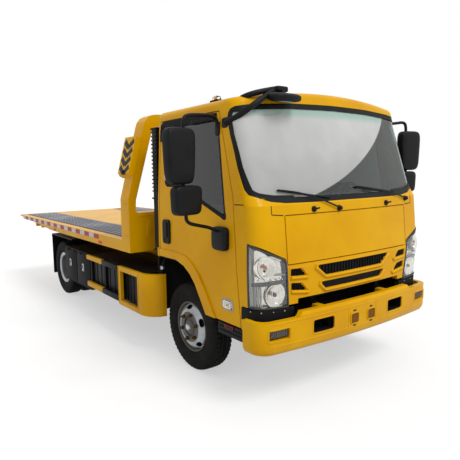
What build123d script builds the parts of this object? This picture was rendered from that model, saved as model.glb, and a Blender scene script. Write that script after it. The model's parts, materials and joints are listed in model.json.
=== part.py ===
"""Light flatbed tow truck: a tilt cab, a ladder chassis and a bed that slides and tilts.

X points forward, Y to the vehicle's left, Z up. The origin is on the ground in the middle of the vehicle.
All sizes are in millimetres.
"""

import math
import os

from build123d import *

# Overall sizes
LENGTH = 5995
FRONT_OVERHANG = 1090
WHEELBASE = 3360
BED_WIDTH = 2236
DECK_HEIGHT = 1078
ROOF_HEIGHT = 2345

# Axle places along X
AXLE_F = LENGTH / 2 - FRONT_OVERHANG
AXLE_R = AXLE_F - WHEELBASE
TAIL = -LENGTH / 2

# Running clearances
PIN_CLEARANCE = 0.05
SEAT_GAP = 0.3
SHUT_GAP = 8

# Wheels
TYRE_RADIUS = 387
TYRE_WIDTH = 190
TYRE_BEAD = 205
RIM_FLANGE = 219
RIM_WIDTH = 152
FRONT_TRACK = 1680
REAR_TRACK = 1440
TWIN_SPACING = 230
STUD_CIRCLE = 222.25
STUD_COUNT = 6
HAND_HOLES = 5
HUB_RADIUS = 82
SPINDLE_RADIUS = 30
KINGPIN_Y = 700
KINGPIN_RADIUS = 20

# Ladder frame
FRAME_HALF = 425
FRAME_TOP = 735
FRAME_DEPTH = 190
FRAME_FLANGE = 65
FRAME_WALL = 8
FRAME_FRONT = AXLE_F + 940
FRAME_REAR = AXLE_R - 720
FRAME_BOTTOM = FRAME_TOP - FRAME_DEPTH

# Cab
CAB_BACK = AXLE_F - 460
CAB_WALL = 45
CAB_BACK_CORNER = 90
CAB_EAVES = 2239
CAB_EAVES_HALF = 1100
ROOF_FILLET = 60
CAB_PIVOT_X = AXLE_F + 900
CAB_PIVOT_Z = 800
CAB_PIN_RADIUS = 15
ARCH_TOP = 975
FLARE_TOP = 1048
SILL = 585
FRONT_SKIRT = 765
PANEL_EDGE = 800
PANEL_HALF = 620
FLARE_DEPTH = 14
RECESS = 25
SURROUND = 42
REAR_FLOOR = 985
FOOT_FLOOR = 830
FLOOR_PLATE = 20
TOE_BOARD_X = AXLE_F + 470

# Cab plan sections: height, front at the middle, front at the sides (both ahead of the front axle),
# half width, radius of the front corners
CAB_SECTIONS = (
    (560, 990, 940, 988, 115),
    (1030, 1013, 963, 1000, 115),
    (1490, 972, 922, 995, 110),
    (1560, 932, 876, 991, 105),
    (2400, 702, 640, 946, 105),
)
# Rounded brow between the windscreen and the roof
BROW_RADIUS = 220
BROW_PROUD = 4

# Bed and the frame that tilts it
BED_HALF = BED_WIDTH / 2
BED_FRONT = AXLE_F - 757
BED_RAIL_DEPTH = 116
BED_RAIL_WIDTH = 40
DECK_PLATE = 6
TAPER_START = AXLE_F - 3170
TAIL_DEPTH = 16
BED_BOTTOM = DECK_HEIGHT - BED_RAIL_DEPTH
BEAM_INNER = FRAME_HALF - 60
TILT_PIVOT_X = FRAME_REAR - 40
TILT_PIVOT_Z = 700
TILT_PIN_RADIUS = 25
TILT_BOTTOM = FRAME_TOP + 10
TILT_TOP = TILT_BOTTOM + 120
TILT_FRONT = AXLE_F - 830
TILT_REAR = TILT_PIVOT_X - 40
GUIDE_DROP = 45

# Tilt cylinders: eyes on the chassis and on the tilt frame, as X and Z from the tilt pivot
CYLINDER_FOOT = (450, -195)
CYLINDER_HEAD = (1100, 80)
CYLINDER_Y = 300
CYLINDER_RADIUS = 32
ROD_RADIUS = 18
EYE_RADIUS = 34
EYE_PIN_RADIUS = 14
EYE_PLAY = 10

# Headboard over the bed's front
HEADBOARD_DEPTH = 175
HEADBOARD_TOP = 2305
HEADBOARD_KNEE = 1487
HEADBOARD_SHOULDER = 2190
HEADBOARD_TOP_HALF = 925
BULKHEAD_TOP = 1352
BULKHEAD_WALL = 50

os.makedirs("parts", exist_ok=True)


def save(part, name):
    """Write one labelled node to its own STEP file."""
    part.label = name
    export_step(part, f"parts/{name}.step")


def save_pair(part, name):
    """Write a left-hand node, and its mirror image as the right-hand one."""
    save(part, f"{name}_left")
    with BuildPart() as right:
        mirror(part, about=Plane.XZ)
    save(right.part, f"{name}_right")


def box_between(low, high):
    """A box that fills the space from one corner to the other."""
    size = [b - a for a, b in zip(low, high)]
    middle = tuple((a + b) / 2 for a, b in zip(low, high))
    with Locations(middle):
        Box(*size)


def side_box(side, low, high):
    """A box given by corners on the left, placed on the left (1) or the right (-1)."""
    ends = sorted((side * low[1], side * high[1]))
    box_between((low[0], ends[0], low[2]), (high[0], ends[1], high[2]))


def bar(start, end, radius, mode=Mode.ADD):
    """Round bar between two points."""
    line = Vector(*end) - Vector(*start)
    with BuildSketch(Plane(origin=start, z_dir=line)) as ring:
        Circle(radius)
    extrude(ring.sketch, amount=line.length, mode=mode)


# Wheels


def wheel_plane(axle_x, centre_y):
    """Sketch plane through a wheel's axis: first along Y from the wheel's middle, second radial."""
    return Plane(origin=(axle_x, centre_y, TYRE_RADIUS), x_dir=(0, 1, 0), z_dir=(1, 0, 0))


def disc_plane(axle_x, disc_y, outward):
    """Sketch plane square to a wheel's axis, with its normal pointing outward."""
    return Plane(origin=(axle_x, disc_y, TYRE_RADIUS), x_dir=(1, 0, 0), z_dir=(0, outward, 0))


def wheel_axis(axle_x):
    return Axis((axle_x, 0, TYRE_RADIUS), (0, 1, 0))


def make_tyre(axle_x, centre_y):
    half = TYRE_WIDTH / 2
    bead = RIM_WIDTH / 2 - 22
    foot = TYRE_BEAD + SEAT_GAP
    belly = (TYRE_BEAD + TYRE_RADIUS) / 2
    left_side = [(bead, foot), (half, belly), (half - 8, TYRE_RADIUS - 17), (half - 30, TYRE_RADIUS)]
    right_side = [(-y, radius) for y, radius in reversed(left_side)]
    with BuildPart() as tyre:
        with BuildSketch(wheel_plane(axle_x, centre_y)):
            with BuildLine():
                Polyline(*left_side, *right_side, close=True)
            make_face()
        revolve(axis=wheel_axis(axle_x))
    return tyre.part


def make_rim(axle_x, centre_y, outward, face):
    """Steel disc wheel. outward is the side its valve faces, face the disc's place along that side."""
    half = RIM_WIDTH / 2
    well = TYRE_BEAD - 24
    lip = half - 10
    with BuildPart() as rim:
        with BuildSketch(wheel_plane(axle_x, centre_y)):
            with BuildLine():
                Polyline(
                    (-half, RIM_FLANGE), (-lip, RIM_FLANGE), (-lip, TYRE_BEAD),
                    (lip, TYRE_BEAD), (lip, RIM_FLANGE),
                    (half, RIM_FLANGE), (half - 14, well), (-half + 14, well),
                    close=True,
                )
            make_face()
        revolve(axis=wheel_axis(axle_x))
        seat = well + 4
        near = outward * face
        crown = outward * (face + 16)
        foot = outward * max(min(face - 30, lip - 60), -lip + 40)
        plate = outward * 10
        with BuildSketch(wheel_plane(axle_x, centre_y)):
            with BuildLine():
                Polyline(
                    (foot, seat), (crown, seat - 26), (crown, seat - 42),
                    (near, seat - 62), (near, HUB_RADIUS - 6),
                    (near - plate, HUB_RADIUS - 6), (near - plate, seat - 66), (crown - plate, seat - 46),
                    (crown - plate, seat - 30), (foot - plate, seat),
                    close=True,
                )
            make_face()
        revolve(axis=wheel_axis(axle_x))
        with BuildSketch(disc_plane(axle_x, centre_y, 1)):
            with PolarLocations(seat - 36, HAND_HOLES, start_angle=25):
                SlotOverall(52, 26, rotation=90)
        extrude(amount=TYRE_WIDTH, both=True, mode=Mode.SUBTRACT)
    return rim.part


def wheel_nuts(axle_x, centre_y, outward, face):
    """Ring of hexagon nuts that stand on a wheel disc."""
    nut_plane = disc_plane(axle_x, centre_y + outward * face, outward)
    with BuildSketch(nut_plane) as nuts:
        with PolarLocations(STUD_CIRCLE / 2, STUD_COUNT):
            RegularPolygon(17, 6)
    extrude(nuts.sketch, amount=20)


def make_hub(axle_x, centre_y, outward, inner, outer, bore_depth):
    """Wheel hub along Y, with a blind bore for the axle's spindle from its inner side."""
    inner_plane = disc_plane(axle_x, centre_y + outward * inner, outward)
    with BuildSketch(inner_plane) as barrel:
        Circle(HUB_RADIUS)
    extrude(barrel.sketch, amount=outer - inner - 30)
    with BuildSketch(inner_plane.offset(outer - inner - 30)) as cap:
        Circle(HUB_RADIUS * 0.62)
    extrude(cap.sketch, amount=30, taper=12)
    with BuildSketch(inner_plane) as bore:
        Circle(SPINDLE_RADIUS + PIN_CLEARANCE)
    extrude(bore.sketch, amount=bore_depth, mode=Mode.SUBTRACT)


FRONT_FACE = 42
FRONT_HUB_INNER = -40
FRONT_HUB_OUTER = 92
FRONT_BORE = 70
REAR_HUB_INNER = -60
REAR_HUB_OUTER = 150
REAR_BORE = 110
front_y = FRONT_TRACK / 2
rear_y = REAR_TRACK / 2
twin = TWIN_SPACING / 2

save_pair(make_tyre(AXLE_F, front_y), "front_tyre")
disc_wheel = make_rim(AXLE_F, front_y, 1, FRONT_FACE)
with BuildPart() as front_rim:
    add(disc_wheel)
    wheel_nuts(AXLE_F, front_y, 1, FRONT_FACE)
    make_hub(AXLE_F, front_y, 1, FRONT_HUB_INNER, FRONT_HUB_OUTER, FRONT_BORE)
save_pair(front_rim.part, "front_rim")

tyres = [make_tyre(AXLE_R, rear_y + offset) for offset in (-twin, twin)]
with BuildPart() as twin_tyres:
    add(tyres)
save_pair(twin_tyres.part, "rear_tyres")
outer_wheel = make_rim(AXLE_R, rear_y + twin, 1, -twin + 10)
inner_wheel = make_rim(AXLE_R, rear_y - twin, 1, twin)
with BuildPart() as twin_rims:
    add([outer_wheel, inner_wheel])
    wheel_nuts(AXLE_R, rear_y, 1, 10)
    make_hub(AXLE_R, rear_y, 1, REAR_HUB_INNER, REAR_HUB_OUTER, REAR_BORE)
save_pair(twin_rims.part, "rear_rims")

# Cab


def cab_form(inset):
    """The cab's outer form, drawn in by inset all round."""
    back = CAB_BACK + inset
    with BuildPart() as form:
        for height, nose, shoulder, half_width, corner in CAB_SECTIONS:
            half = half_width - inset
            front = AXLE_F + shoulder - inset
            with BuildSketch(Plane.XY.offset(height)):
                with BuildLine():
                    ThreePointArc((front, -half), (AXLE_F + nose - inset, 0), (front, half))
                    Polyline((front, half), (back, half), (back, -half), (front, -half))
                make_face()
                fillet(vertices().group_by(Axis.X)[-1], max(corner - inset, 40))
                fillet(vertices().group_by(Axis.X)[0], max(CAB_BACK_CORNER - inset, 5))
        loft(ruled=True)
        with BuildSketch(Plane.YZ):
            with BuildLine():
                eaves = CAB_EAVES - inset
                ThreePointArc((-CAB_EAVES_HALF, eaves), (0, ROOF_HEIGHT - inset), (CAB_EAVES_HALF, eaves))
                Polyline(
                    (CAB_EAVES_HALF, eaves), (CAB_EAVES_HALF, 0),
                    (-CAB_EAVES_HALF, 0), (-CAB_EAVES_HALF, eaves),
                )
            make_face()
        extrude(amount=LENGTH, both=True, mode=Mode.INTERSECT)
        fillet(faces().sort_by(Axis.Z)[-1].edges(), max(ROOF_FILLET - inset, 12))
        base, top = CAB_SECTIONS[-2:]
        lean = (base[1] - top[1]) / (top[0] - base[0])
        screen = AXLE_F + base[1] + BROW_PROUD - inset
        crown = ROOF_HEIGHT + BROW_PROUD - inset
        with BuildSketch(Plane.XZ):
            with BuildLine():
                Polyline(
                    (CAB_BACK - 200, 0), (AXLE_F + 1300, 0), (AXLE_F + 1300, base[0]), (screen, base[0]),
                    (screen - lean * (crown - base[0]), crown), (CAB_BACK - 200, crown),
                    close=True,
                )
            make_face()
            brow = vertices().group_by(Axis.Z)[-1].sort_by(Axis.X)[-1]
            fillet(brow, BROW_RADIUS - inset)
        extrude(amount=BED_WIDTH, both=True, mode=Mode.INTERSECT)
    return form.part


def layer(near, far):
    """The skin between two insets of the cab's form."""
    outside = cab_form(near)
    inside = cab_form(far)
    with BuildPart() as skin:
        add(outside)
        add(inside, mode=Mode.SUBTRACT)
    return skin.part


def front_prism(points, radius, start_x, end_x):
    """Prism along X over an outline given in Y and Z, with rounded corners."""
    with BuildPart() as prism:
        with BuildSketch(Plane.YZ.offset(start_x)):
            with BuildLine():
                Polyline(*points, close=True)
            make_face()
            if radius:
                fillet(vertices(), radius)
        extrude(amount=end_x - start_x)
    return prism.part


def side_prism(points, radius, side, inner_y, outer_y, shrink=0):
    """Prism along Y on one side, over an outline given in X (from the front axle) and Z."""
    plane = Plane(origin=(AXLE_F, side * inner_y, 0), x_dir=(1, 0, 0), z_dir=(0, -1, 0))
    with BuildPart() as prism:
        with BuildSketch(plane):
            with BuildLine():
                Polyline(*points, close=True)
            make_face()
            if radius:
                fillet(vertices(), radius)
            if shrink:
                offset(amount=-shrink, kind=Kind.INTERSECTION, mode=Mode.REPLACE)
        extrude(amount=-side * (outer_y - inner_y))
    return prism.part


def common(first, second):
    with BuildPart() as shared:
        add(first)
        add(second, mode=Mode.INTERSECT)
    return shared.part


def less(first, *others):
    with BuildPart() as rest:
        add(first)
        for other in others:
            add(other, mode=Mode.SUBTRACT)
    return rest.part


def mirrored(points):
    """An outline given for the left half, closed by its mirror image on the right."""
    return list(points) + [(-y, z) for y, z in reversed(points) if y]


# Outlines on the cab's side, X from the front axle
DOOR_OUTLINE = (
    (775, SILL), (719, 1315), (700, 1540), (500, 2190), (-372, 2190), (-372, ARCH_TOP), (-80, ARCH_TOP),
    (38, 940), (121, 888), (190, 818), (244, 733), (295, 650), (334, SILL),
)
DOOR_WINDOW = ((622, 1366), (487, 2150), (-285, 2140), (-282, 1612), (-50, 1612))
FLARE_OUTLINE = (
    (-372, ARCH_TOP), (-80, ARCH_TOP), (38, 940), (121, 888), (190, 818), (244, 733), (295, 650),
    (334, SILL), (470, SILL), (425, 650), (377, 729), (320, 820), (250, 910), (160, 985), (54, 1036),
    (-80, FLARE_TOP), (-372, FLARE_TOP),
)
REAR_FLARE = ((-450, ARCH_TOP), (-372, ARCH_TOP), (-372, FLARE_TOP), (-450, FLARE_TOP))
# Zone of the pillars between the doors and the windscreen
PILLAR = (
    (900, 1400), (900, 1540), (846, 1562), (806, 1606), (730, 1764), (682, 1891), (634, 2002), (606, 2090),
    (598, 2130), (604, 2160), (625, 2187), (668, 2206), (668, 2330), (0, 2330), (0, 1400),
)
# Outlines on the cab's front, Y and Z
WINDSCREEN = (
    (0, 1500), (450, 1499), (705, 1503), (830, 1518), (905, 1540), (1020, 1590),
    (1020, 2190), (930, 2204), (800, 2222), (450, 2243), (0, 2250),
)
LID = ((732, 1058), (732, 1420))
HEADLAMP = ((740, 1107), (708, 746), (1015, 766), (1015, 1235))
SLOTS = (
    ((455, 1028), (341, 943)),
    ((405, 894), (340, 838)),
)
SIDE_SLOTS = (
    ((600, 1026), (703, 1030), (700, 977), (534, 966)),
    ((592, 914), (694, 926), (690, 872), (524, 850)),
)
REAR_WINDOW = ((640, 1480), (620, 2060))

wall = layer(0, CAB_WALL)
outer_skin = layer(0, RECESS)
flare_skin = layer(-FLARE_DEPTH, 0)

# Space under the cab that is left open: the wheel arches, the engine and the steps
with BuildPart() as underside:
    box_between((CAB_BACK - 50, -1100, 0), (AXLE_F + 463, 1100, ARCH_TOP))
    box_between((AXLE_F + 400, -1100, 0), (AXLE_F + 790, 1100, SILL))
    box_between((AXLE_F + 400, -930, 0), (AXLE_F + 1200, 930, FRONT_SKIRT))
    box_between((AXLE_F + 400, -PANEL_HALF, 0), (AXLE_F + 1200, PANEL_HALF, PANEL_EDGE))
    box_between((AXLE_F + 790, -1100, 0), (AXLE_F + 1200, 1100, FRONT_SKIRT))

pillars = [side_prism(PILLAR, 0, side, 600, 1100) for side in (1, -1)]
pillar_trims = [side_prism([(x + SURROUND, z) for x, z in PILLAR], 0, side, 600, 1100) for side in (1, -1)]
windscreen_hole = less(front_prism(mirrored(WINDSCREEN), 0, AXLE_F + 300, AXLE_F + 1200), *pillars)
lid_recess = front_prism(mirrored(LID), 16, AXLE_F + 700, AXLE_F + 1200)
rear_hole = front_prism(mirrored(REAR_WINDOW), 50, CAB_BACK - 50, CAB_BACK + 200)
lamp_holes = []
slot_holes = []
for side in (1, -1):
    lamp_outline = [(side * y, z) for y, z in HEADLAMP]
    lamp_holes.append(front_prism(lamp_outline, 0, AXLE_F + 850, AXLE_F + 1200))
    for outline in SIDE_SLOTS:
        slot_outline = [(side * y, z) for y, z in outline]
        slot_holes.append(front_prism(slot_outline, 10, AXLE_F + 800, AXLE_F + 1200))
for outline in SLOTS:
    slot_holes.append(front_prism(mirrored(outline), 14, AXLE_F + 800, AXLE_F + 1200))
door_holes = [side_prism(DOOR_OUTLINE, 0, side, 700, 1100) for side in (1, -1)]

shallow = [common(outer_skin, hole) for hole in slot_holes + [lid_recess]]
deep = [underside.part, windscreen_hole, rear_hole] + lamp_holes + door_holes
rear_flares = [
    common(flare_skin, side_prism(REAR_FLARE, 0, side, 985, 1100))
    for side in (1, -1)
]
with BuildPart() as cab_shell:
    add(wall)
    for hole in deep + shallow:
        add(hole, mode=Mode.SUBTRACT)
    add(rear_flares)
save(cab_shell.part, "cab_shell")

# Black inserts at the back of the front slots
insert_skin = layer(14, RECESS - SEAT_GAP)
inserts = [common(insert_skin, hole) for hole in slot_holes]
with BuildPart() as grille_inserts:
    add(inserts)
save(grille_inserts.part, "grille_inserts")

# Lid over the front service space
lid_skin = layer(0, 18)
LID_MIDDLE = 1220
lid_outline = [(y - SHUT_GAP, z + (SHUT_GAP if z < LID_MIDDLE else -SHUT_GAP)) for y, z in LID]
lid_prism = front_prism(mirrored(lid_outline), 8, AXLE_F + 700, AXLE_F + 1200)
save(common(lid_skin, lid_prism), "front_lid")

# Headlamps
lamp_skin = layer(0, 38)
lamps = [common(lamp_skin, hole) for hole in lamp_holes]
with BuildPart() as headlamps:
    add(lamps)
save(headlamps.part, "headlamps")

# Windscreen, rear window and the black surround of the windscreen
SCREEN_MIDDLE = 1880
inner_outline = [(y, z + (SURROUND if z < SCREEN_MIDDLE else -SURROUND)) for y, z in WINDSCREEN]
glass_prism = less(front_prism(mirrored(inner_outline), 0, AXLE_F + 300, AXLE_F + 1200), *pillar_trims)
glass_skin = layer(8, 16)
trim_skin = layer(2, CAB_WALL - 5)
rear_glass = front_prism(mirrored(REAR_WINDOW), 50, CAB_BACK + 16, CAB_BACK + 22)
screen_glass = common(glass_skin, glass_prism)
with BuildPart() as cab_glass:
    add([screen_glass, rear_glass])
save(cab_glass.part, "cab_glass")
save(less(common(trim_skin, windscreen_hole), glass_prism), "windscreen_surround")

# Floor with the hinge lugs of the tilting cab
with BuildPart() as cab_floor:
    box_between((CAB_BACK + CAB_WALL, -905, REAR_FLOOR), (TOE_BOARD_X, 905, REAR_FLOOR + FLOOR_PLATE))
    box_between((TOE_BOARD_X, -930, FOOT_FLOOR), (TOE_BOARD_X + FLOOR_PLATE, 930, REAR_FLOOR + FLOOR_PLATE))
    box_between((TOE_BOARD_X, -930, FOOT_FLOOR), (AXLE_F + 780, 930, FOOT_FLOOR + FLOOR_PLATE))
    box_between((AXLE_F + 770, -368, FOOT_FLOOR), (AXLE_F + 905, 368, FOOT_FLOOR + FLOOR_PLATE))
    for side in (1, -1):
        side_box(
            side, (CAB_PIVOT_X - 30, 325, CAB_PIVOT_Z - 30), (CAB_PIVOT_X + 30, 365, FOOT_FLOOR + FLOOR_PLATE)
        )
    with BuildSketch(Plane(origin=(CAB_PIVOT_X, -500, CAB_PIVOT_Z), x_dir=(1, 0, 0), z_dir=(0, 1, 0))):
        Circle(CAB_PIN_RADIUS + PIN_CLEARANCE)
    extrude(amount=1000, mode=Mode.SUBTRACT)
save(cab_floor.part, "cab_floor")

# Steps below the doors
with BuildPart() as cab_steps:
    for side in (1, -1):
        side_box(side, (AXLE_F + 470, 780, 480), (AXLE_F + 790, 975, 572))
        side_box(side, (AXLE_F + 470, 760, 480), (AXLE_F + 790, 780, FOOT_FLOOR))
save(cab_steps.part, "cab_steps")

# Doors with their windows, seals, mirrors and handles
window_skin = layer(10, 16)
seal_skin = layer(6, CAB_WALL - 15)
cover_skin = layer(-28, 0)
visor_skin = layer(-18, 0)
door_prism = side_prism(DOOR_OUTLINE, 0, 1, 700, 1100, shrink=SHUT_GAP)
window_prism = side_prism(DOOR_WINDOW, 55, 1, 700, 1100)
pane_prism = side_prism(DOOR_WINDOW, 55, 1, 700, 1100, shrink=22)
flare = common(common(flare_skin, side_prism(FLARE_OUTLINE, 0, 1, 700, 1100)), door_prism)
panel = less(common(wall, door_prism), window_prism)
with BuildPart() as door:
    add(panel)
    add(flare)
save_pair(door.part, "door")
save_pair(common(window_skin, pane_prism), "door_glass")

seal = less(common(seal_skin, window_prism), pane_prism)
bracket_outline = ((478, 1150), (655, 1165), (640, 1325), (490, 1315))
bracket = common(cover_skin, side_prism(bracket_outline, 18, 1, 800, 1100))
handle_outline = ((-300, 1106), (-181, 1106), (-181, 1323), (-300, 1323))
handle = common(cover_skin, side_prism(handle_outline, 22, 1, 800, 1100))
visor_outline = ((500, 2130), (475, 2180), (-300, 2180), (-340, 2010), (-292, 2010), (-280, 2138))
visor = common(visor_skin, side_prism(visor_outline, 0, 1, 800, 1100))
MIRROR_X = AXLE_F + 590
MIRROR_Y = 1332
with BuildPart() as door_fittings:
    add([seal, bracket, handle, visor])
    bar((MIRROR_X - 25, 1015, 1240), (MIRROR_X + 10, 1310, 1480), 13)
    bar((MIRROR_X - 100, 971, 2160), (MIRROR_X + 10, 1310, 1990), 13)
    bar((MIRROR_X + 10, MIRROR_Y, 1600), (MIRROR_X + 10, MIRROR_Y, 1680), 13)
    with BuildSketch(Plane.YZ.offset(MIRROR_X - 35)):
        for low, high, width in ((1656, 2040, 240), (1410, 1625, 250)):
            with Locations((MIRROR_Y, (low + high) / 2)):
                RectangleRounded(width, high - low, 40)
    extrude(amount=90)
save_pair(door_fittings.part, "door_fittings")

# Look-down mirror over the right front corner, roof lamps and the air intake behind the cab
cab_outside = cab_form(0)
with BuildPart() as lookdown_mirror:
    bar((AXLE_F + 600, -940, 2100), (AXLE_F + 700, -560, 2339), 9)
    bar((AXLE_F + 420, -880, 2240), (AXLE_F + 700, -560, 2339), 9)
    with Locations((AXLE_F + 705, -552, 2339)):
        Box(50, 60, 34)
    bar((AXLE_F + 705, -552, 2339), (AXLE_F + 790, -580, 2290), 9)
    with Locations((AXLE_F + 800, -584, 2262)):
        Cylinder(110, 44)
    add(cab_outside, mode=Mode.SUBTRACT)
save(lookdown_mirror.part, "lookdown_mirror")

with BuildPart() as roof_lamps:
    for side in (1, -1):
        with Locations((AXLE_F + 300, side * 832, 2295)):
            Box(110, 60, 44)
    add(cab_outside, mode=Mode.SUBTRACT)
save(roof_lamps.part, "roof_lamps")

with BuildPart() as air_intake:
    box_between((CAB_BACK - 95, -960, 1000), (CAB_BACK, -820, 2150))
    fillet(edges().filter_by(Axis.Z).group_by(Axis.X)[0], 25)
save(air_intake.part, "air_intake")

# Seats, dashboard and steering wheel
SEAT_Y = 470
with BuildPart() as seats:
    for side in (1, -1):
        with Locations((AXLE_F - 60, side * SEAT_Y, 1155)):
            Box(500, 520, 300)
        with Locations((AXLE_F - 330, side * SEAT_Y, 1480)):
            Box(130, 500, 800)
save(seats.part, "seats")

dash_room = cab_form(CAB_WALL + 3)
with BuildPart() as dashboard:
    box_between((AXLE_F + 560, -925, 1130), (AXLE_F + 1000, 925, 1440))
    add(dash_room, mode=Mode.INTERSECT)
    box_between((AXLE_F + 560, -120, FOOT_FLOOR + FLOOR_PLATE), (AXLE_F + 700, 120, 1140))
    bar((AXLE_F + 600, SEAT_Y, 1290), (AXLE_F + 445, SEAT_Y, 1435), 34)
save(dashboard.part, "dashboard")

STEERING_CENTRE = (AXLE_F + 420, SEAT_Y, 1458)
STEERING_AXIS = (-155, 0, 145)
with BuildPart() as steering_wheel:
    rim_plane = Plane(origin=STEERING_CENTRE, x_dir=(0, 1, 0), z_dir=STEERING_AXIS)
    with BuildSketch(Plane(origin=STEERING_CENTRE, x_dir=(0, 1, 0), z_dir=rim_plane.y_dir)):
        with Locations((205, 0)):
            RegularPolygon(15, 8)
    revolve(axis=Axis(STEERING_CENTRE, STEERING_AXIS))
    with BuildSketch(rim_plane.offset(-14)):
        Circle(45)
        Rectangle(402, 36)
    extrude(amount=28)
save(steering_wheel.part, "steering_wheel")

# Chassis frame
CROSSMEMBERS = (790, -560, -1150, -2050, -2780, -3860)
with BuildPart() as chassis_frame:
    with BuildSketch(Plane.YZ.offset(FRAME_REAR)):
        for side in (1, -1):
            with Locations((side * (FRAME_HALF - FRAME_FLANGE / 2), FRAME_TOP - FRAME_DEPTH / 2)):
                Rectangle(FRAME_FLANGE, FRAME_DEPTH)
            inner_wide = FRAME_FLANGE - FRAME_WALL
            hollow_y = FRAME_HALF - FRAME_WALL - inner_wide / 2
            with Locations((side * hollow_y, FRAME_TOP - FRAME_DEPTH / 2)):
                Rectangle(inner_wide, FRAME_DEPTH - 2 * FRAME_WALL, mode=Mode.SUBTRACT)
    extrude(amount=FRAME_FRONT - FRAME_REAR)
    inside = FRAME_HALF - FRAME_WALL
    for place in CROSSMEMBERS:
        box_between(
            (AXLE_F + place - 40, -inside, 640), (AXLE_F + place + 40, inside, FRAME_TOP - FRAME_WALL)
        )
    for side in (1, -1):
        side_box(side, (CAB_PIVOT_X - 27, 380, FRAME_TOP), (CAB_PIVOT_X + 27, FRAME_HALF, CAB_PIVOT_Z + 25))
        bar((CAB_PIVOT_X, side * 318, CAB_PIVOT_Z), (CAB_PIVOT_X, side * 400, CAB_PIVOT_Z), CAB_PIN_RADIUS)
        side_box(side, (AXLE_F - 405, 330, FRAME_TOP), (AXLE_F - 345, 400, REAR_FLOOR))
        for place in (-1000, -2000, -3000, -3900):
            side_box(
                side, (AXLE_F + place - 50, BEAM_INNER, FRAME_TOP), (AXLE_F + place + 50, FRAME_HALF, TILT_BOTTOM)
            )
        side_box(side, (FRAME_REAR, FRAME_HALF, 640), (FRAME_REAR + 150, FRAME_HALF + 22, 740))
        side_box(side, (TILT_PIVOT_X - 45, FRAME_HALF, 650), (FRAME_REAR + 1, FRAME_HALF + 22, 740))
        foot_x = TILT_PIVOT_X + CYLINDER_FOOT[0]
        foot_z = TILT_PIVOT_Z + CYLINDER_FOOT[1]
        side_box(side, (foot_x - 40, 345, foot_z - 35), (foot_x + 40, 365, FRAME_BOTTOM + FRAME_WALL))
        bar((foot_x, side * 262, foot_z), (foot_x, side * 350, foot_z), EYE_PIN_RADIUS)
    bar(
        (TILT_PIVOT_X, -500, TILT_PIVOT_Z), (TILT_PIVOT_X, 500, TILT_PIVOT_Z),
        TILT_PIN_RADIUS + PIN_CLEARANCE, mode=Mode.SUBTRACT,
    )
save(chassis_frame.part, "chassis_frame")

# Axles, springs and steering knuckles
with BuildPart() as front_axle:
    box_between((AXLE_F - 30, -680, 330), (AXLE_F + 30, 680, 410))
    for side in (1, -1):
        bar((AXLE_F, side * KINGPIN_Y, 320), (AXLE_F, side * KINGPIN_Y, 450), 38)
        pin_foot, pin_head = (AXLE_F, side * KINGPIN_Y, 300), (AXLE_F, side * KINGPIN_Y, 460)
        bar(pin_foot, pin_head, KINGPIN_RADIUS + PIN_CLEARANCE, Mode.SUBTRACT)
save(front_axle.part, "front_axle")

with BuildPart() as knuckle:
    bar((AXLE_F, KINGPIN_Y, 290), (AXLE_F, KINGPIN_Y, 482), KINGPIN_RADIUS)
    for low, high in ((290, 315), (455, 482)):
        box_between((AXLE_F - 42, KINGPIN_Y - 40, low), (AXLE_F + 42, 766, high))
    box_between((AXLE_F - 42, 746, 290), (AXLE_F + 42, 766, 482))
    bar((AXLE_F, 760, TYRE_RADIUS), (AXLE_F, 778, TYRE_RADIUS), 150)
    bar((AXLE_F, 770, TYRE_RADIUS), (AXLE_F, front_y + 25, TYRE_RADIUS), SPINDLE_RADIUS)
save_pair(knuckle.part, "knuckle")

with BuildPart() as rear_axle:
    bar((AXLE_R, -640, TYRE_RADIUS), (AXLE_R, 640, TYRE_RADIUS), 58)
    bar((AXLE_R, -(rear_y + 40), TYRE_RADIUS), (AXLE_R, rear_y + 40, TYRE_RADIUS), SPINDLE_RADIUS)
    bar((AXLE_R - 110, 0, TYRE_RADIUS), (AXLE_R + 110, 0, TYRE_RADIUS), 160)
    bar((AXLE_R, 0, TYRE_RADIUS), (AXLE_R + 260, 0, TYRE_RADIUS), 75)
save(rear_axle.part, "rear_axle")

# Leaf springs: axle, Y of the middle, underside height at the axle, drop of the ends
with BuildPart() as leaf_springs:
    for axle, spring_y, seat in ((AXLE_F, 392, 410), (AXLE_R, 462, TYRE_RADIUS + 58)):
        for side in (1, -1):
            outline = Plane(origin=(axle, side * (spring_y - 30), 0), x_dir=(1, 0, 0), z_dir=(0, -1, 0))
            with BuildSketch(outline) as leaf:
                with BuildLine():
                    Polyline(
                        (-560, FRAME_BOTTOM), (-560, 500), (-90, seat), (90, seat), (560, 500),
                        (560, FRAME_BOTTOM), (520, FRAME_BOTTOM), (520, 520), (90, seat + 46),
                        (-90, seat + 46), (-520, 520), (-520, FRAME_BOTTOM),
                        close=True,
                    )
                make_face()
            extrude(leaf.sketch, amount=-side * 60)
save(leaf_springs.part, "leaf_springs")

# Engine with gearbox, propeller shaft and exhaust
with BuildPart() as engine_block:
    box_between((AXLE_F - 420, -300, 470), (AXLE_F + 430, 300, 960))
    box_between((AXLE_F - 500, -160, 470), (AXLE_F - 420, 160, 630))
    box_between((AXLE_F - 1080, -160, 440), (AXLE_F - 500, 160, 630))
    for side in (1, -1):
        side_box(side, (AXLE_F - 60, 300, 560), (AXLE_F + 60, FRAME_HALF - FRAME_WALL, 620))
save(engine_block.part, "engine_block")

with BuildPart() as propeller_shaft:
    bar((AXLE_F - 1070, 0, 530), (AXLE_R + 250, 0, TYRE_RADIUS), 42)
    add([engine_block.part, rear_axle.part], mode=Mode.SUBTRACT)
save(propeller_shaft.part, "propeller_shaft")

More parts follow.
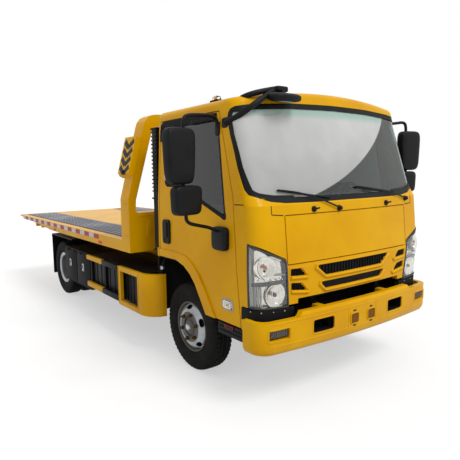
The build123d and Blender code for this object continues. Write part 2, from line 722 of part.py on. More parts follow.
with BuildPart() as exhaust:
    bar((AXLE_F - 1050, -640, 520), (AXLE_F - 560, -640, 520), 95)
    side_box(-1, (AXLE_F - 900, FRAME_HALF, 560), (AXLE_F - 700, 600, 600))
    bar((AXLE_F - 1060, -640, 520), (AXLE_F - 1180, -900, 420), 32)
    bar((AXLE_F - 560, -640, 520), (AXLE_F - 545, -560, 560), 32)
save(exhaust.part, "exhaust")

# Boxes and guards along the sides
with BuildPart() as fuel_tank:
    box_between((AXLE_F - 1900, FRAME_HALF, 420), (AXLE_F - 1150, 800, 670))
    fillet(edges().filter_by(Axis.X), 50)
save(fuel_tank.part, "fuel_tank")

with BuildPart() as battery_box:
    box_between((AXLE_F - 1800, -800, 420), (AXLE_F - 1300, -FRAME_HALF, 670))
save(battery_box.part, "battery_box")

GUARD_OUTER = 1112
GUARD_INNER = 1076
with BuildPart() as guard_posts:
    for side in (1, -1):
        for place in (-1900, -1500, -1100):
            side_box(side, (AXLE_F + place - 22, FRAME_HALF, 690), (AXLE_F + place + 22, GUARD_INNER, 730))
            side_box(side, (AXLE_F + place - 22, 1046, 414), (AXLE_F + place + 22, GUARD_INNER, 787))
        side_box(side, (AXLE_F - 660, FRAME_HALF, 690), (AXLE_F - 616, GUARD_INNER, 730))
save(guard_posts.part, "guard_posts")

with BuildPart() as side_guards:
    for side in (1, -1):
        for low, high in ((738, 787), (414, 469)):
            side_box(side, (AXLE_F - 1948, GUARD_INNER, low), (AXLE_F - 1070, GUARD_OUTER, high))
        side_box(side, (AXLE_F - 1072, GUARD_INNER, 385), (AXLE_F - 600, GUARD_OUTER, 790))
        with Locations((AXLE_F - 836, side * 1100, 588)):
            Box(380, 200, 310, mode=Mode.SUBTRACT)
        corner = Plane(origin=(AXLE_F - 600, 0, 385))
        with BuildSketch(corner) as panel_plan:
            with BuildLine():
                ThreePointArc((0, side * GUARD_OUTER), (140, side * (GUARD_OUTER - 48)), (200, side * 930))
                Line((200, side * 930), (170, side * 930))
                ThreePointArc((170, side * 930), (115, side * (GUARD_INNER - 48)), (0, side * GUARD_INNER))
                Line((0, side * GUARD_INNER), (0, side * GUARD_OUTER))
            make_face()
        extrude(panel_plan.sketch, amount=405)
save(side_guards.part, "side_guards")

with BuildPart() as rear_lockers:
    for side in (1, -1):
        side_box(side, (AXLE_F - 2860, 560, 345), (AXLE_F - 1955, 1060, 772))
        for place in (-2700, -2100):
            side_box(side, (AXLE_F + place - 40, FRAME_HALF, 600), (AXLE_F + place + 40, 561, 700))
save(rear_lockers.part, "rear_lockers")

with BuildPart() as mudguards:
    for side in (1, -1):
        side_box(side, (AXLE_F - 486, FRAME_HALF, 430), (AXLE_F - 474, 960, 940))
        side_box(side, (AXLE_F - 3800, 500, 834), (AXLE_F - 2930, 940, 848))
        side_box(side, (AXLE_F - 3800, 500, 240), (AXLE_F - 3788, 940, 840))
        for place in (-3770, -2960):
            side_box(side, (AXLE_F + place - 25, FRAME_HALF, 690), (AXLE_F + place + 25, 520, 732))
            side_box(side, (AXLE_F + place - 25, 500, 690), (AXLE_F + place + 25, 520, 840))
save(mudguards.part, "mudguards")

with BuildPart() as rear_bumper:
    box_between((AXLE_F - 4070, -830, 430), (AXLE_F - 4000, 830, 530))
    for side in (1, -1):
        side_box(side, (AXLE_F - 4060, 360, 500), (AXLE_F - 4010, FRAME_HALF, FRAME_BOTTOM))
        side_box(side, (AXLE_F - 4066, 600, 528), (AXLE_F - 4040, 640, 640))
save(rear_bumper.part, "rear_bumper")

with BuildPart() as tail_lamps:
    for side in (1, -1):
        side_box(side, (AXLE_F - 4110, 590, 580), (AXLE_F - 4066, 810, 680))
save(tail_lamps.part, "tail_lamps")

# Front bumper
BUMPER_WALL = 42
FOG_HOLE = ((766, 541), (964, 541), (964, 639), (766, 639))
TOW_HOLE = ((335, 544), (551, 544), (551, 642), (335, 642))
END_DIP = ((610, 760), (690, 686), (1100, 686), (1100, 760))
BUMPER_BACK = AXLE_F + 840
BUMPER_SHOULDER = AXLE_F + 1030
BUMPER_HALF = 1034
BUMPER_CORNER = 130
# Heights with how far the bumper is drawn in there, for its rolled chin and rounded top edge
BUMPER_ROLL = ((436, 46), (446, 20), (474, 4), (500, 0), (700, 0), (724, 10))


def bumper_plan(inset):
    """The bumper as a full solid, drawn in by inset all round."""
    with BuildPart() as solid:
        for height, draw in BUMPER_ROLL:
            back = inset + draw
            half = BUMPER_HALF - back
            front = BUMPER_SHOULDER - back
            with BuildSketch(Plane.XY.offset(height)):
                with BuildLine():
                    ThreePointArc((front, -half), (AXLE_F + FRONT_OVERHANG - back, 0), (front, half))
                    Polyline((front, half), (BUMPER_BACK, half), (BUMPER_BACK, -half), (front, -half))
                make_face()
                fillet(vertices().group_by(Axis.X)[-1], BUMPER_CORNER - back)
        loft(ruled=True)
    return solid.part


bumper_outer = bumper_plan(0)
bumper_inner = bumper_plan(BUMPER_WALL)
fog_holes = [
    front_prism([(side * y, z) for y, z in FOG_HOLE], 20, AXLE_F + 900, AXLE_F + 1200)
    for side in (1, -1)
]
tow_holes = [
    front_prism([(side * y, z) for y, z in TOW_HOLE], 20, AXLE_F + 900, AXLE_F + 1200)
    for side in (1, -1)
]
bumper_skin = less(bumper_outer, bumper_inner)
end_dips = [
    front_prism([(side * y, z) for y, z in END_DIP], 0, AXLE_F + 700, AXLE_F + 1200)
    for side in (1, -1)
]
with BuildPart() as front_bumper:
    add(bumper_skin)
    for hole in fog_holes + tow_holes + end_dips:
        add(hole, mode=Mode.SUBTRACT)
    for side in (1, -1):
        side_box(side, (FRAME_FRONT, 362, 655), (AXLE_F + 1055, FRAME_HALF, 715))
    for side in (1, -1):
        with Locations((AXLE_F + 1100, side * 102, 576)):
            Box(200, 50, 50, mode=Mode.SUBTRACT)
save(front_bumper.part, "front_bumper")

fogs = [common(bumper_skin, hole) for hole in fog_holes]
with BuildPart() as fog_lamps:
    add(fogs)
save(fog_lamps.part, "fog_lamps")

# Frame that tilts the bed
with BuildPart() as tilt_frame:
    for side in (1, -1):
        side_box(side, (TILT_REAR, BEAM_INNER, TILT_BOTTOM), (TILT_FRONT, FRAME_HALF, TILT_TOP))
        side_box(
            side, (TILT_REAR, BEAM_INNER + 10, 660), (TILT_PIVOT_X + 20, FRAME_HALF - 5, TILT_BOTTOM + 1)
        )
        pin_inner, pin_outer = (TILT_PIVOT_X, side * 400, TILT_PIVOT_Z), (TILT_PIVOT_X, side * 450, TILT_PIVOT_Z)
        bar(pin_inner, pin_outer, TILT_PIN_RADIUS)
        head_x = TILT_PIVOT_X + CYLINDER_HEAD[0]
        head_z = TILT_PIVOT_Z + CYLINDER_HEAD[1]
        side_box(side, (head_x - 40, 345, TILT_BOTTOM), (head_x + 40, BEAM_INNER + 1, 816))
        bar((head_x, side * 262, head_z), (head_x, side * 350, head_z), EYE_PIN_RADIUS)
    for place in (-860, -1600, -2300, -3400, -4125):
        box_between((AXLE_F + place - 30, -BEAM_INNER - 1, 750), (AXLE_F + place + 30, BEAM_INNER + 1, 812))
save(tilt_frame.part, "tilt_frame")

# Slide cylinder: the barrel on the tilt frame, the rod on the bed
SLIDE_Z = 880
SLIDE_ROD = 20
with BuildPart() as slide_barrel:
    bar((AXLE_F - 3900, 0, SLIDE_Z), (AXLE_F - 880, 0, SLIDE_Z), 45)
    bar((AXLE_F - 3840, 0, SLIDE_Z), (AXLE_F - 900, 0, SLIDE_Z), 34, Mode.SUBTRACT)
    bar((AXLE_F - 3910, 0, SLIDE_Z), (AXLE_F - 3800, 0, SLIDE_Z), SLIDE_ROD + PIN_CLEARANCE, Mode.SUBTRACT)
    for place in (-1600, -2300, -3400):
        box_between((AXLE_F + place - 25, -40, 812), (AXLE_F + place + 25, 40, SLIDE_Z - 36))
save(slide_barrel.part, "slide_barrel")

with BuildPart() as slide_rod:
    bar((AXLE_F - 3960, 0, SLIDE_Z), (AXLE_F - 960, 0, SLIDE_Z), SLIDE_ROD)
    bar((AXLE_F - 990, 0, SLIDE_Z), (AXLE_F - 960, 0, SLIDE_Z), 33)
    box_between((AXLE_F - 3990, -50, 840), (AXLE_F - 3950, 50, BED_BOTTOM))
save(slide_rod.part, "slide_rod")

# Tilt cylinders
foot = Vector(TILT_PIVOT_X + CYLINDER_FOOT[0], 0, TILT_PIVOT_Z + CYLINDER_FOOT[1])
head = Vector(TILT_PIVOT_X + CYLINDER_HEAD[0], 0, TILT_PIVOT_Z + CYLINDER_HEAD[1])
along = (head - foot).normalized()
closed_length = (head - foot).length
with BuildPart() as tilt_barrels:
    for side in (1, -1):
        across = Vector(0, side * CYLINDER_Y, 0)
        start = foot + across
        bar(tuple(start - Vector(0, 30, 0)), tuple(start + Vector(0, 30, 0)), EYE_RADIUS)
        bar(tuple(start + along * 20), tuple(start + along * (closed_length - 60)), CYLINDER_RADIUS)
        bar(
            tuple(start + along * 60), tuple(start + along * closed_length),
            ROD_RADIUS + PIN_CLEARANCE, Mode.SUBTRACT,
        )
        bar(
            tuple(start - Vector(0, 60, 0)), tuple(start + Vector(0, 60, 0)),
            EYE_PIN_RADIUS + PIN_CLEARANCE, Mode.SUBTRACT,
        )
save(tilt_barrels.part, "tilt_barrels")

with BuildPart() as tilt_rods:
    for side in (1, -1):
        across = Vector(0, side * CYLINDER_Y, 0)
        end = head + across
        bar(tuple(end - along * (closed_length - 80)), tuple(end - along * 20), ROD_RADIUS)
        bar(tuple(end - Vector(0, 28, 0)), tuple(end + Vector(0, 28, 0)), EYE_RADIUS)
        bar(
            tuple(end - Vector(0, 60, 0)), tuple(end + Vector(0, 60, 0)),
            EYE_PIN_RADIUS + EYE_PLAY, Mode.SUBTRACT,
        )
save(tilt_rods.part, "tilt_rods")

# Bed
with BuildPart() as bed_frame:
    box_between((TAIL, -BED_HALF, DECK_HEIGHT - DECK_PLATE), (BED_FRONT, BED_HALF, DECK_HEIGHT))
    for side in (1, -1):
        rail_y = side * (BED_HALF - BED_RAIL_WIDTH)
        rail_plane = Plane(origin=(0, rail_y, 0), x_dir=(1, 0, 0), z_dir=(0, -1, 0))
        with BuildSketch(rail_plane) as rail:
            with BuildLine():
                Polyline(
                    (BED_FRONT, DECK_HEIGHT), (BED_FRONT, BED_BOTTOM), (TAPER_START, BED_BOTTOM),
                    (TAIL, DECK_HEIGHT - TAIL_DEPTH), (TAIL, DECK_HEIGHT),
                    close=True,
                )
            make_face()
        extrude(rail.sketch, amount=-side * BED_RAIL_WIDTH)
        side_box(side, (AXLE_F - 4045, BEAM_INNER, TILT_TOP), (BED_FRONT - 50, FRAME_HALF, BED_BOTTOM))
        side_box(
            side, (AXLE_F - 4045, 340, TILT_TOP - GUIDE_DROP), (BED_FRONT - 50, BEAM_INNER - 2, BED_BOTTOM)
        )
    for place in (-790, -1300, -1800, -2300, -2800, -3300, -3700, -3980):
        box_between(
            (AXLE_F + place - 30, -BED_HALF + 1, BED_BOTTOM),
            (AXLE_F + place + 30, BED_HALF - 1, DECK_HEIGHT - 1),
        )
    box_between((TAIL, -BED_HALF, DECK_HEIGHT - TAIL_DEPTH), (TAIL + 60, BED_HALF, DECK_HEIGHT))
save(bed_frame.part, "bed_frame")

with BuildPart() as deck_plates:
    for side in (1, -1):
        side_box(side, (TAIL + 90, 560, DECK_HEIGHT), (BED_FRONT - 200, 1020, DECK_HEIGHT + 4))
save(deck_plates.part, "deck_plates")

# Headboard
headboard_outline = (
    (BED_HALF, DECK_HEIGHT), (BED_HALF, HEADBOARD_KNEE), (HEADBOARD_TOP_HALF, HEADBOARD_SHOULDER),
    (HEADBOARD_TOP_HALF - 16, HEADBOARD_TOP - 72), (HEADBOARD_TOP_HALF - 50, HEADBOARD_TOP - 30),
    (HEADBOARD_TOP_HALF - 96, HEADBOARD_TOP - 7), (HEADBOARD_TOP_HALF - 150, HEADBOARD_TOP),
)
opening_outline = ((1040, BULKHEAD_TOP), (1035, 1475), (840, 2130), (770, 2195))
board = front_prism(mirrored(headboard_outline), 0, BED_FRONT - HEADBOARD_DEPTH, BED_FRONT)
opening = front_prism(mirrored(opening_outline), 30, BED_FRONT - HEADBOARD_DEPTH, BED_FRONT)
pocket_outline = ((1040, DECK_HEIGHT), (1040, BULKHEAD_TOP - 60))
pocket = front_prism(mirrored(pocket_outline), 0, BED_FRONT - HEADBOARD_DEPTH, BED_FRONT - BULKHEAD_WALL)
save(less(board, opening, pocket), "headboard")

# Chevron boxes on the leaning posts
lean = Vector(0, HEADBOARD_TOP_HALF - BED_HALF, HEADBOARD_SHOULDER - HEADBOARD_KNEE).normalized()
with BuildPart() as chevron_boxes:
    for side in (1, -1):
        knee = (side * BED_HALF, HEADBOARD_KNEE)
        tilt = (side * lean.Y, lean.Z)
        out = (side * lean.Z, -lean.Y)
        steps = ((210, 0), (245, 60), (610, 60), (615, 0))
        with BuildSketch(Plane.YZ.offset(AXLE_F - 985)) as box_side:
            with BuildLine():
                Polyline(
                    *[
                        (knee[0] + tilt[0] * a + out[0] * b, knee[1] + tilt[1] * a + out[1] * b)
                        for a, b in steps
                    ],
                    close=True,
                )
            make_face()
        extrude(box_side.sketch, amount=240)
save(chevron_boxes.part, "chevron_boxes")

# Winch behind the headboard
WINCH_X = BED_FRONT - 330
with BuildPart() as winch:
    box_between((WINCH_X - 110, -330, DECK_HEIGHT), (WINCH_X + 110, 330, DECK_HEIGHT + 16))
    for place in (-170, 150):
        box_between((WINCH_X - 90, place, DECK_HEIGHT), (WINCH_X + 90, place + 20, DECK_HEIGHT + 220))
    bar((WINCH_X, -150, DECK_HEIGHT + 130), (WINCH_X, 150, DECK_HEIGHT + 130), 60)
    bar((WINCH_X, 170, DECK_HEIGHT + 130), (WINCH_X, 330, DECK_HEIGHT + 130), 75)
    bar((WINCH_X, -320, DECK_HEIGHT + 130), (WINCH_X, -170, DECK_HEIGHT + 130), 85)
save(winch.part, "winch")
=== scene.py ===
# %% [markdown]
# # Flatbed tow truck
# The truck's solids come from CAD as a fixed frame in metres: +X is forward, +Y the truck's left, +Z up.
# This lesson dresses that frame: it gives each surface the finish of the real one and adds the small pieces
# that a maker fits last. Nothing here moves a solid.

# %% Frame
import json
import math

import bmesh
import bpy
from mathutils import Matrix, Vector
from mathutils.bvhtree import BVHTree


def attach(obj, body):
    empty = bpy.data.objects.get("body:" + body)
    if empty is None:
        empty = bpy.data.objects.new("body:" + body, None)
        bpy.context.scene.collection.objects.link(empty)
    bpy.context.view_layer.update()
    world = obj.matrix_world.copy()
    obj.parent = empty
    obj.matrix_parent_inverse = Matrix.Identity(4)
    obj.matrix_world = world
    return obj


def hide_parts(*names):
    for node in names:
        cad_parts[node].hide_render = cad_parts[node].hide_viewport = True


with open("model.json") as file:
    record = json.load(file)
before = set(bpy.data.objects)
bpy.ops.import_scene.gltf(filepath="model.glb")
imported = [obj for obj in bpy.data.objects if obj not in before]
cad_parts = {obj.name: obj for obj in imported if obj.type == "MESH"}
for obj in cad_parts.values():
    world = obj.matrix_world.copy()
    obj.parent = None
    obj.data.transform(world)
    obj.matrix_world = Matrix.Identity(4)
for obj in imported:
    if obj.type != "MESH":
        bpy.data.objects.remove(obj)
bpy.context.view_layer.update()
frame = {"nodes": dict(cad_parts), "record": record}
nodes = frame["nodes"]
scene = bpy.context.scene

# %% [markdown]
# ## Camera
# The photograph is taken from the truck's right front corner, close enough for strong perspective.
# Its place, turn and lens were found by fitting points on the truck, so the same numbers are used here.
# The small shift puts the truck where it stands in the frame.

# %% Camera
FRONT_AXLE = 1.9075
CAMERA_PLACE = Vector((FRONT_AXLE + 3.360, -3.125, 1.739))
CAMERA_YAW = math.radians(34.18)
CAMERA_PITCH = math.radians(-6.89)
CAMERA_ROLL = math.radians(-1.14)
IMAGE_SIZE = 460.0
IMAGE_MIDDLE = IMAGE_SIZE / 2
LENS_AXIS = (196.6, 228.7)
FOCAL_PIXELS = 470.8
SENSOR = 36.0
camera_data = bpy.data.cameras.new("photo_camera")
camera_data.sensor_width = SENSOR
camera_data.sensor_height = SENSOR
camera_data.sensor_fit = "HORIZONTAL"
camera_data.lens = SENSOR * FOCAL_PIXELS / IMAGE_SIZE
camera_data.shift_x = (IMAGE_MIDDLE - LENS_AXIS[0]) / IMAGE_SIZE
camera_data.shift_y = (LENS_AXIS[1] - IMAGE_MIDDLE) / IMAGE_SIZE
camera = bpy.data.objects.new("photo_camera", camera_data)
scene.collection.objects.link(camera)
look = Vector((
    -math.cos(CAMERA_YAW) * math.cos(CAMERA_PITCH),
    math.sin(CAMERA_YAW) * math.cos(CAMERA_PITCH),
    math.sin(CAMERA_PITCH),
))
right_hand = look.cross(Vector((0, 0, 1))).normalized()
turn = Matrix((right_hand, right_hand.cross(look), -look)).transposed().to_4x4()
camera.matrix_world = Matrix.Translation(CAMERA_PLACE) @ turn @ Matrix.Rotation(CAMERA_ROLL, 4, "Z")
scene.camera = camera
print("camera looks along", look)

# %% [markdown]
# ## Making materials
# Colours are written as the sRGB hex values a paint chart would give, and one function turns them to linear.
# Every material is a small tree of nodes. One function adds a node, so the trees below read like recipes.
# Patterns sit in object space, where one unit is a metre, so N millimetres means a scale of 1000 / N.

# %% Colour and node helpers
def hex_colour(code):
    """An sRGB hex value as the linear colour that shaders use."""
    channels = [int(code[i:i + 2], 16) / 255 for i in (0, 2, 4)]
    linear = [c / 12.92 if c <= 0.04045 else ((c + 0.055) / 1.055) ** 2.4 for c in channels]
    return (*linear, 1.0)


def add_node(tree, kind, settings, links=()):
    """Add a node; settings fill its sockets or properties, links join its sockets to other outputs."""
    node = tree.nodes.new(kind)
    for key, value in settings.items():
        if isinstance(key, int) or key in node.inputs:
            node.inputs[key].default_value = value
        else:
            setattr(node, key, value)
    for key, output in dict(links).items():
        tree.links.new(output, node.inputs[key])
    return node


def per_metre(millimetres):
    """How often a pattern of this size repeats in a metre."""
    return 1000.0 / millimetres


def start_material(name, **sockets):
    """A material with a principled shader; constants go on the shader's own sockets."""
    material = bpy.data.materials.new(name)
    material.use_nodes = True
    shader = material.node_tree.nodes["Principled BSDF"]
    for key, value in sockets.items():
        shader.inputs[key.replace("_", " ")].default_value = value
    return material, material.node_tree, shader


def patches(tree, where, size, detail):
    """Soft random patches of a size in millimetres."""
    settings = {"Scale": per_metre(size), "Detail": detail}
    return add_node(tree, "ShaderNodeTexNoise", settings, {"Vector": where}).outputs["Fac"]


def rescale(tree, value, near=0.0, far=1.0, low=0.0, high=1.0):
    """Map a value that runs from near to far onto low to high, held at both ends."""
    settings = {"From Min": near, "From Max": far, "To Min": low, "To Max": high}
    return add_node(tree, "ShaderNodeMapRange", settings, {"Value": value}).outputs["Result"]


def combine(tree, operation, first, second):
    """Two outputs joined by one sum."""
    return add_node(tree, "ShaderNodeMath", {"operation": operation}, {0: first, 1: second}).outputs[0]


def two_tone(tree, shader, value, colours, low, high):
    """Let a shader's colour run between two hex colours as a value goes from low to high."""
    ramp = add_node(tree, "ShaderNodeValToRGB", {}, {"Fac": value})
    for stop, place, code in zip(ramp.color_ramp.elements, (low, high), colours):
        stop.position = place
        stop.color = hex_colour(code)
    tree.links.new(ramp.outputs["Color"], shader.inputs["Base Color"])
    return ramp.outputs["Color"]


def mottle(tree, shader, where, colours, size):
    """Let a shader's colour drift between two hex colours in patches of a size in millimetres."""
    return two_tone(tree, shader, patches(tree, where, size, 4.0), colours, 0.35, 0.65)


def uneven_gloss(tree, shader, where, size, low, high):
    """Let roughness drift between two values, as hands, dust and weather leave it."""
    drift = rescale(tree, patches(tree, where, size, 5.0), low=low, high=high)
    tree.links.new(drift, shader.inputs["Roughness"])


def raise_bumps(tree, shader, height, strength, depth):
    """Turn a height output into small bumps, depth in metres."""
    bump = add_node(tree, "ShaderNodeBump", {"Strength": strength, "Distance": depth}, {"Height": height})
    tree.links.new(bump.outputs["Normal"], shader.inputs["Normal"])


def object_space(tree):
    return add_node(tree, "ShaderNodeTexCoord", {}).outputs["Object"]


print("helpers ready")

# %% [markdown]
# ## Paints
# The body is sprayed with a two-pack enamel and baked: a clean, deep yellow with a thin gloss layer.
# Spraying leaves a faint orange peel a few millimetres across, and the road a thin brown film low down.
# Wheels are sprayed silver, and the chassis is dipped in black paint that dust soon greys.

# %% Body enamel, wheel silver and chassis black
YELLOW = "D8A200"
YELLOW_DEEP = "CF9500"
ROAD_FILM = "8A6A22"
FILM_TOP = 0.75
FILM_BOTTOM = 0.2
ORANGE_PEEL = 6


def bake_enamel(name, colours, film, gloss, shine, coat):
    """Sprayed enamel under a gloss coat: mirror-like at a glance, softly mottled close up."""
    material, tree, shader = start_material(
        name, Specular_IOR_Level=shine, Coat_Weight=coat, Coat_Roughness=0.05
    )
    where = object_space(tree)
    paint = mottle(tree, shader, where, colours, 420)
    split = add_node(tree, "ShaderNodeSeparateXYZ", {}, {0: where})
    low_down = rescale(tree, split.outputs["Z"], FILM_BOTTOM, FILM_TOP, 0.5, 0.0)
    amount = combine(tree, "MULTIPLY", low_down, patches(tree, where, 90, 6.0))
    dusty = add_node(
        tree, "ShaderNodeMix", {"data_type": "RGBA", 7: hex_colour(film)}, {0: amount, 6: paint}
    )
    tree.links.new(dusty.outputs[2], shader.inputs["Base Color"])
    raise_bumps(tree, shader, patches(tree, where, ORANGE_PEEL, 1.0), 0.05, 0.0005)
    uneven_gloss(tree, shader, where, 160, *gloss)
    return material


# Deep yellow with a soft sheen.
yellow_enamel = bake_enamel(
    "baked_yellow_enamel", (YELLOW_DEEP, YELLOW), ROAD_FILM, (0.26, 0.4), 0.07, 0.06
)
# Nearly black and dull, greyed by dust low down.
chassis_black = bake_enamel(
    "chassis_black_paint", ("060607", "0D0E0F"), "221F1A", (0.5, 0.62), 0.06, 0.01
)
# Pale grey with fine flakes, bright where it faces the light.
wheel_silver, tree, shader = start_material("silver_wheel_paint", Metallic=0.7)
where = object_space(tree)
mottle(tree, shader, where, ("8A8D91", "AEB1B5"), 140)
uneven_gloss(tree, shader, where, 60, 0.24, 0.36)
raise_bumps(tree, shader, patches(tree, where, 3, 2.0), 0.06, 0.0004)
print("paints:", yellow_enamel.name, wheel_silver.name, chassis_black.name)

# %% [markdown]
# ## Plastics and rubbers
# Mirror housings, handles and steps are moulded ABS with a fine leather-like grain, which keeps them matt.
# Seals and mud flaps are EPDM rubber, blacker and duller. Tyres are carbon-black rubber, dulled by dust.
# Grains finer than a millimetre would not show here, so they are drawn at two to three millimetres.

# %% Plastics and rubbers
def mould(name, colours, grain, roughness, strength=0.25, patch=120):
    """Moulded plastic or rubber: one colour with slight drift, and a grain sized in millimetres."""
    material, tree, shader = start_material(name, Specular_IOR_Level=0.15)
    where = object_space(tree)
    mottle(tree, shader, where, colours, patch)
    cells = add_node(tree, "ShaderNodeTexVoronoi", {"Scale": per_metre(grain)}, {"Vector": where})
    raise_bumps(tree, shader, cells.outputs["Distance"], strength, 0.0006)
    uneven_gloss(tree, shader, where, 40, roughness - 0.06, roughness + 0.06)
    return material


black_abs = mould("grained_black_abs", ("0B0C0E", "121315"), 2.5, 0.5)
seal_rubber = mould("epdm_rubber", ("090A0B", "0F1011"), 3.0, 0.66, 0.12)
tyre_rubber = mould("tyre_rubber", ("0A0A0A", "171614"), 2.5, 0.82, 0.2, 70)
dash_abs = mould("grey_dash_abs", ("34363A", "3D3F43"), 3.0, 0.6)
bezel_abs = mould("dark_grey_abs", ("3A3C40", "46484C"), 2.5, 0.45, 0.12)
lamp_grey = mould("silver_grey_abs", ("A09D97", "B9B6B0"), 3.0, 0.35, 0.08)
vinyl_black = mould("black_vinyl_film", ("0D0D0F", "151517"), 4.0, 0.4, 0.05)
print("plastics and rubbers ready")

# %% [markdown]
# ## Bare metals
# Chromed and turned metals are bright and nearly smooth. Rolled aluminium shows fine lines along the roll.
# Cast iron is rough and dark. Each metal keeps the default IOR and gets its look from colour and roughness.

# %% Bare metals
def bare_metal(name, colours, roughness, stretch, size, strength):
    """A metal whose grain is drawn out by stretch along X, Y and Z."""
    material, tree, shader = start_material(name, Metallic=1.0)
    where = object_space(tree)
    mottle(tree, shader, where, colours, 90)
    drawn = add_node(tree, "ShaderNodeMapping", {"Scale": stretch}, {"Vector": where})
    raise_bumps(tree, shader, patches(tree, drawn.outputs["Vector"], size, 3.0), strength, 0.0006)
    uneven_gloss(tree, shader, where, 50, roughness - 0.05, roughness + 0.08)
    return material


chrome_plate = bare_metal("chromed_reflector", ("D2CBC2", "EAE3DA"), 0.1, (1, 1, 1), 20, 0.03)
turned_steel = bare_metal("turned_steel", ("8F9295", "B5B7B9"), 0.34, (1, 6, 1), 6, 0.15)
rolled_aluminium = bare_metal("rolled_aluminium", ("9EA1A4", "C2C4C6"), 0.36, (0.1, 1, 1), 4, 0.15)
cast_iron = bare_metal("cast_iron", ("2A2A2B", "3C3B3A"), 0.62, (1, 1, 1), 5, 0.5)
wire_rope = bare_metal("galvanised_wire_rope", ("6C6F72", "8E9194"), 0.42, (1, 8, 1), 5, 0.5)
cast_iron.node_tree.nodes["Principled BSDF"].inputs["Metallic"].default_value = 0.4
print("metals ready")

# %% [markdown]
# ## Glass and lamp plastics
# Side windows are smoked safety glass. The windscreen is pale, apart from its lower left corner.
# That pale area is a painted reflection of the sky: a pale film drawn in the glass, which hides the cab
# behind it. That is drawn as a film of dust in the glass, which is a guess: it may be sky mirrored in a
# clean pane.
# A green shade band colours the top edge. The pane behind the seats is tinted near black,
# as painted shade for the dark space seen through it.
# Lamp lenses are clear polycarbonate, smoky in the fog lamps; bulbs and tail lamps are coloured acrylic.

# %% Glass and lamp plastics
def cast_clear(name, code, ior, roughness, transmission, haze):
    """A see-through plastic or glass with a faint uneven haze over it."""
    material, tree, shader = start_material(
        name, Base_Color=hex_colour(code), IOR=ior, Transmission_Weight=transmission
    )
    where = object_space(tree)
    uneven_gloss(tree, shader, where, 70, roughness, roughness + haze)
    raise_bumps(tree, shader, patches(tree, where, 350, 1.0), 0.02, 0.002)
    return material


window_glass = cast_clear("smoked_safety_glass", "4E5453", 1.52, 0.0, 1.0, 0.03)
windscreen_glass = cast_clear("green_windscreen_glass", "A9BAB2", 1.52, 0.0, 1.0, 0.03)
# The painted reflection ends on an arc: for each axis, where its run starts and ends in metres, and its
# reach there.
PAINTED_SHEEN_RUNS = (("Y", -0.70, 1.0, 1.2), ("Z", 2.26, 1.36, 1.2))
PAINTED_SHEEN_BEND = 1.5
PAINTED_SHEEN_EDGE = (1.022, 1.04)
GLASS_FOOT, GLASS_TOP = 1.48, 2.23
tree = windscreen_glass.node_tree
shader = tree.nodes["Principled BSDF"]
where = object_space(tree)
split = add_node(tree, "ShaderNodeSeparateXYZ", {}, {0: where})
reaches = []
for axis, near, far, reach in PAINTED_SHEEN_RUNS:
    run = rescale(tree, split.outputs[axis], near, far, high=reach)
    bent = add_node(tree, "ShaderNodeMath", {"operation": "POWER", 1: PAINTED_SHEEN_BEND}, {0: run})
    reaches.append(bent.outputs[0])
bloom = rescale(tree, combine(tree, "ADD", *reaches), *PAINTED_SHEEN_EDGE, 1.0, 0.0)
in_front = rescale(tree, split.outputs["X"], FRONT_AXLE, FRONT_AXLE + 0.1)
uneven = rescale(tree, patches(tree, where, 260, 4.0), 0.3, 0.7, 0.9)
# The mask below, named dust, is the painted reflection: pale and less clear inside the arc, in slight
# patches.
dust = combine(tree, "MULTIPLY", combine(tree, "MULTIPLY", bloom, uneven), in_front)
# The pane behind the seats is tinted near black: painted shade for the dark space seen through it.
pane = add_node(
    tree, "ShaderNodeMix", {"data_type": "RGBA", 6: hex_colour("161B1A"), 7: hex_colour("8C9C95")},
    {0: in_front},
)
# The colour of the painted reflection brightens upwards, and the green shade band tints its top.
rise = rescale(tree, split.outputs["Z"], GLASS_FOOT, GLASS_TOP)
shade = add_node(tree, "ShaderNodeValToRGB", {}, {"Fac": rise})
shade.color_ramp.elements[0].color = hex_colour("A4A5A4")
shade.color_ramp.elements[1].color = hex_colour("9FBDB3")
for place, code in ((0.55, "C0C0BE"), (0.86, "C8C9C7"), (0.92, "A2BEB5")):
    shade.color_ramp.elements.new(place).color = hex_colour(code)
sheen_over_pane = add_node(
    tree, "ShaderNodeMix", {"data_type": "RGBA"},
    {0: dust, 6: pane.outputs[2], 7: shade.outputs["Color"]},
)
tree.links.new(sheen_over_pane.outputs[2], shader.inputs["Base Color"])
tree.links.new(rescale(tree, dust, low=1.0, high=0.12), shader.inputs["Transmission Weight"])
fog_lens = cast_clear("smoky_polycarbonate", "94805A", 1.58, 0.02, 1.0, 0.05)
lens_plastic = cast_clear("clear_polycarbonate", "F4F7F7", 1.58, 0.0, 1.0, 0.03)
amber_acrylic = cast_clear("amber_acrylic", "F07A10", 1.49, 0.08, 0.35, 0.1)
red_acrylic = cast_clear("red_acrylic", "B4140E", 1.49, 0.08, 0.25, 0.1)
print("clear materials ready")

# %% [markdown]
# ## Sheet goods
# Deck strips are hot-rolled chequer plate under grey paint, and the lugs are painted lighter than the plate.
# Marking tape is a film of small prisms behind clear plastic, so it shows a honeycomb of cells.
# Seats are trimmed in a flat-woven polyester. Its threads, about a millimetre, are drawn at four to show.

# %% Plate, tape and cloth
plate_paint = bake_enamel(
    "grey_chequer_paint", ("2E323A", "3E434C"), "3E3A34", (0.45, 0.6), 0.2, 0.02
)
lighter_lug_paint = bake_enamel(
    "lighter_chequer_lugs", ("8A8C94", "B2B3BA"), "6A665E", (0.35, 0.5), 0.3, 0.02
)


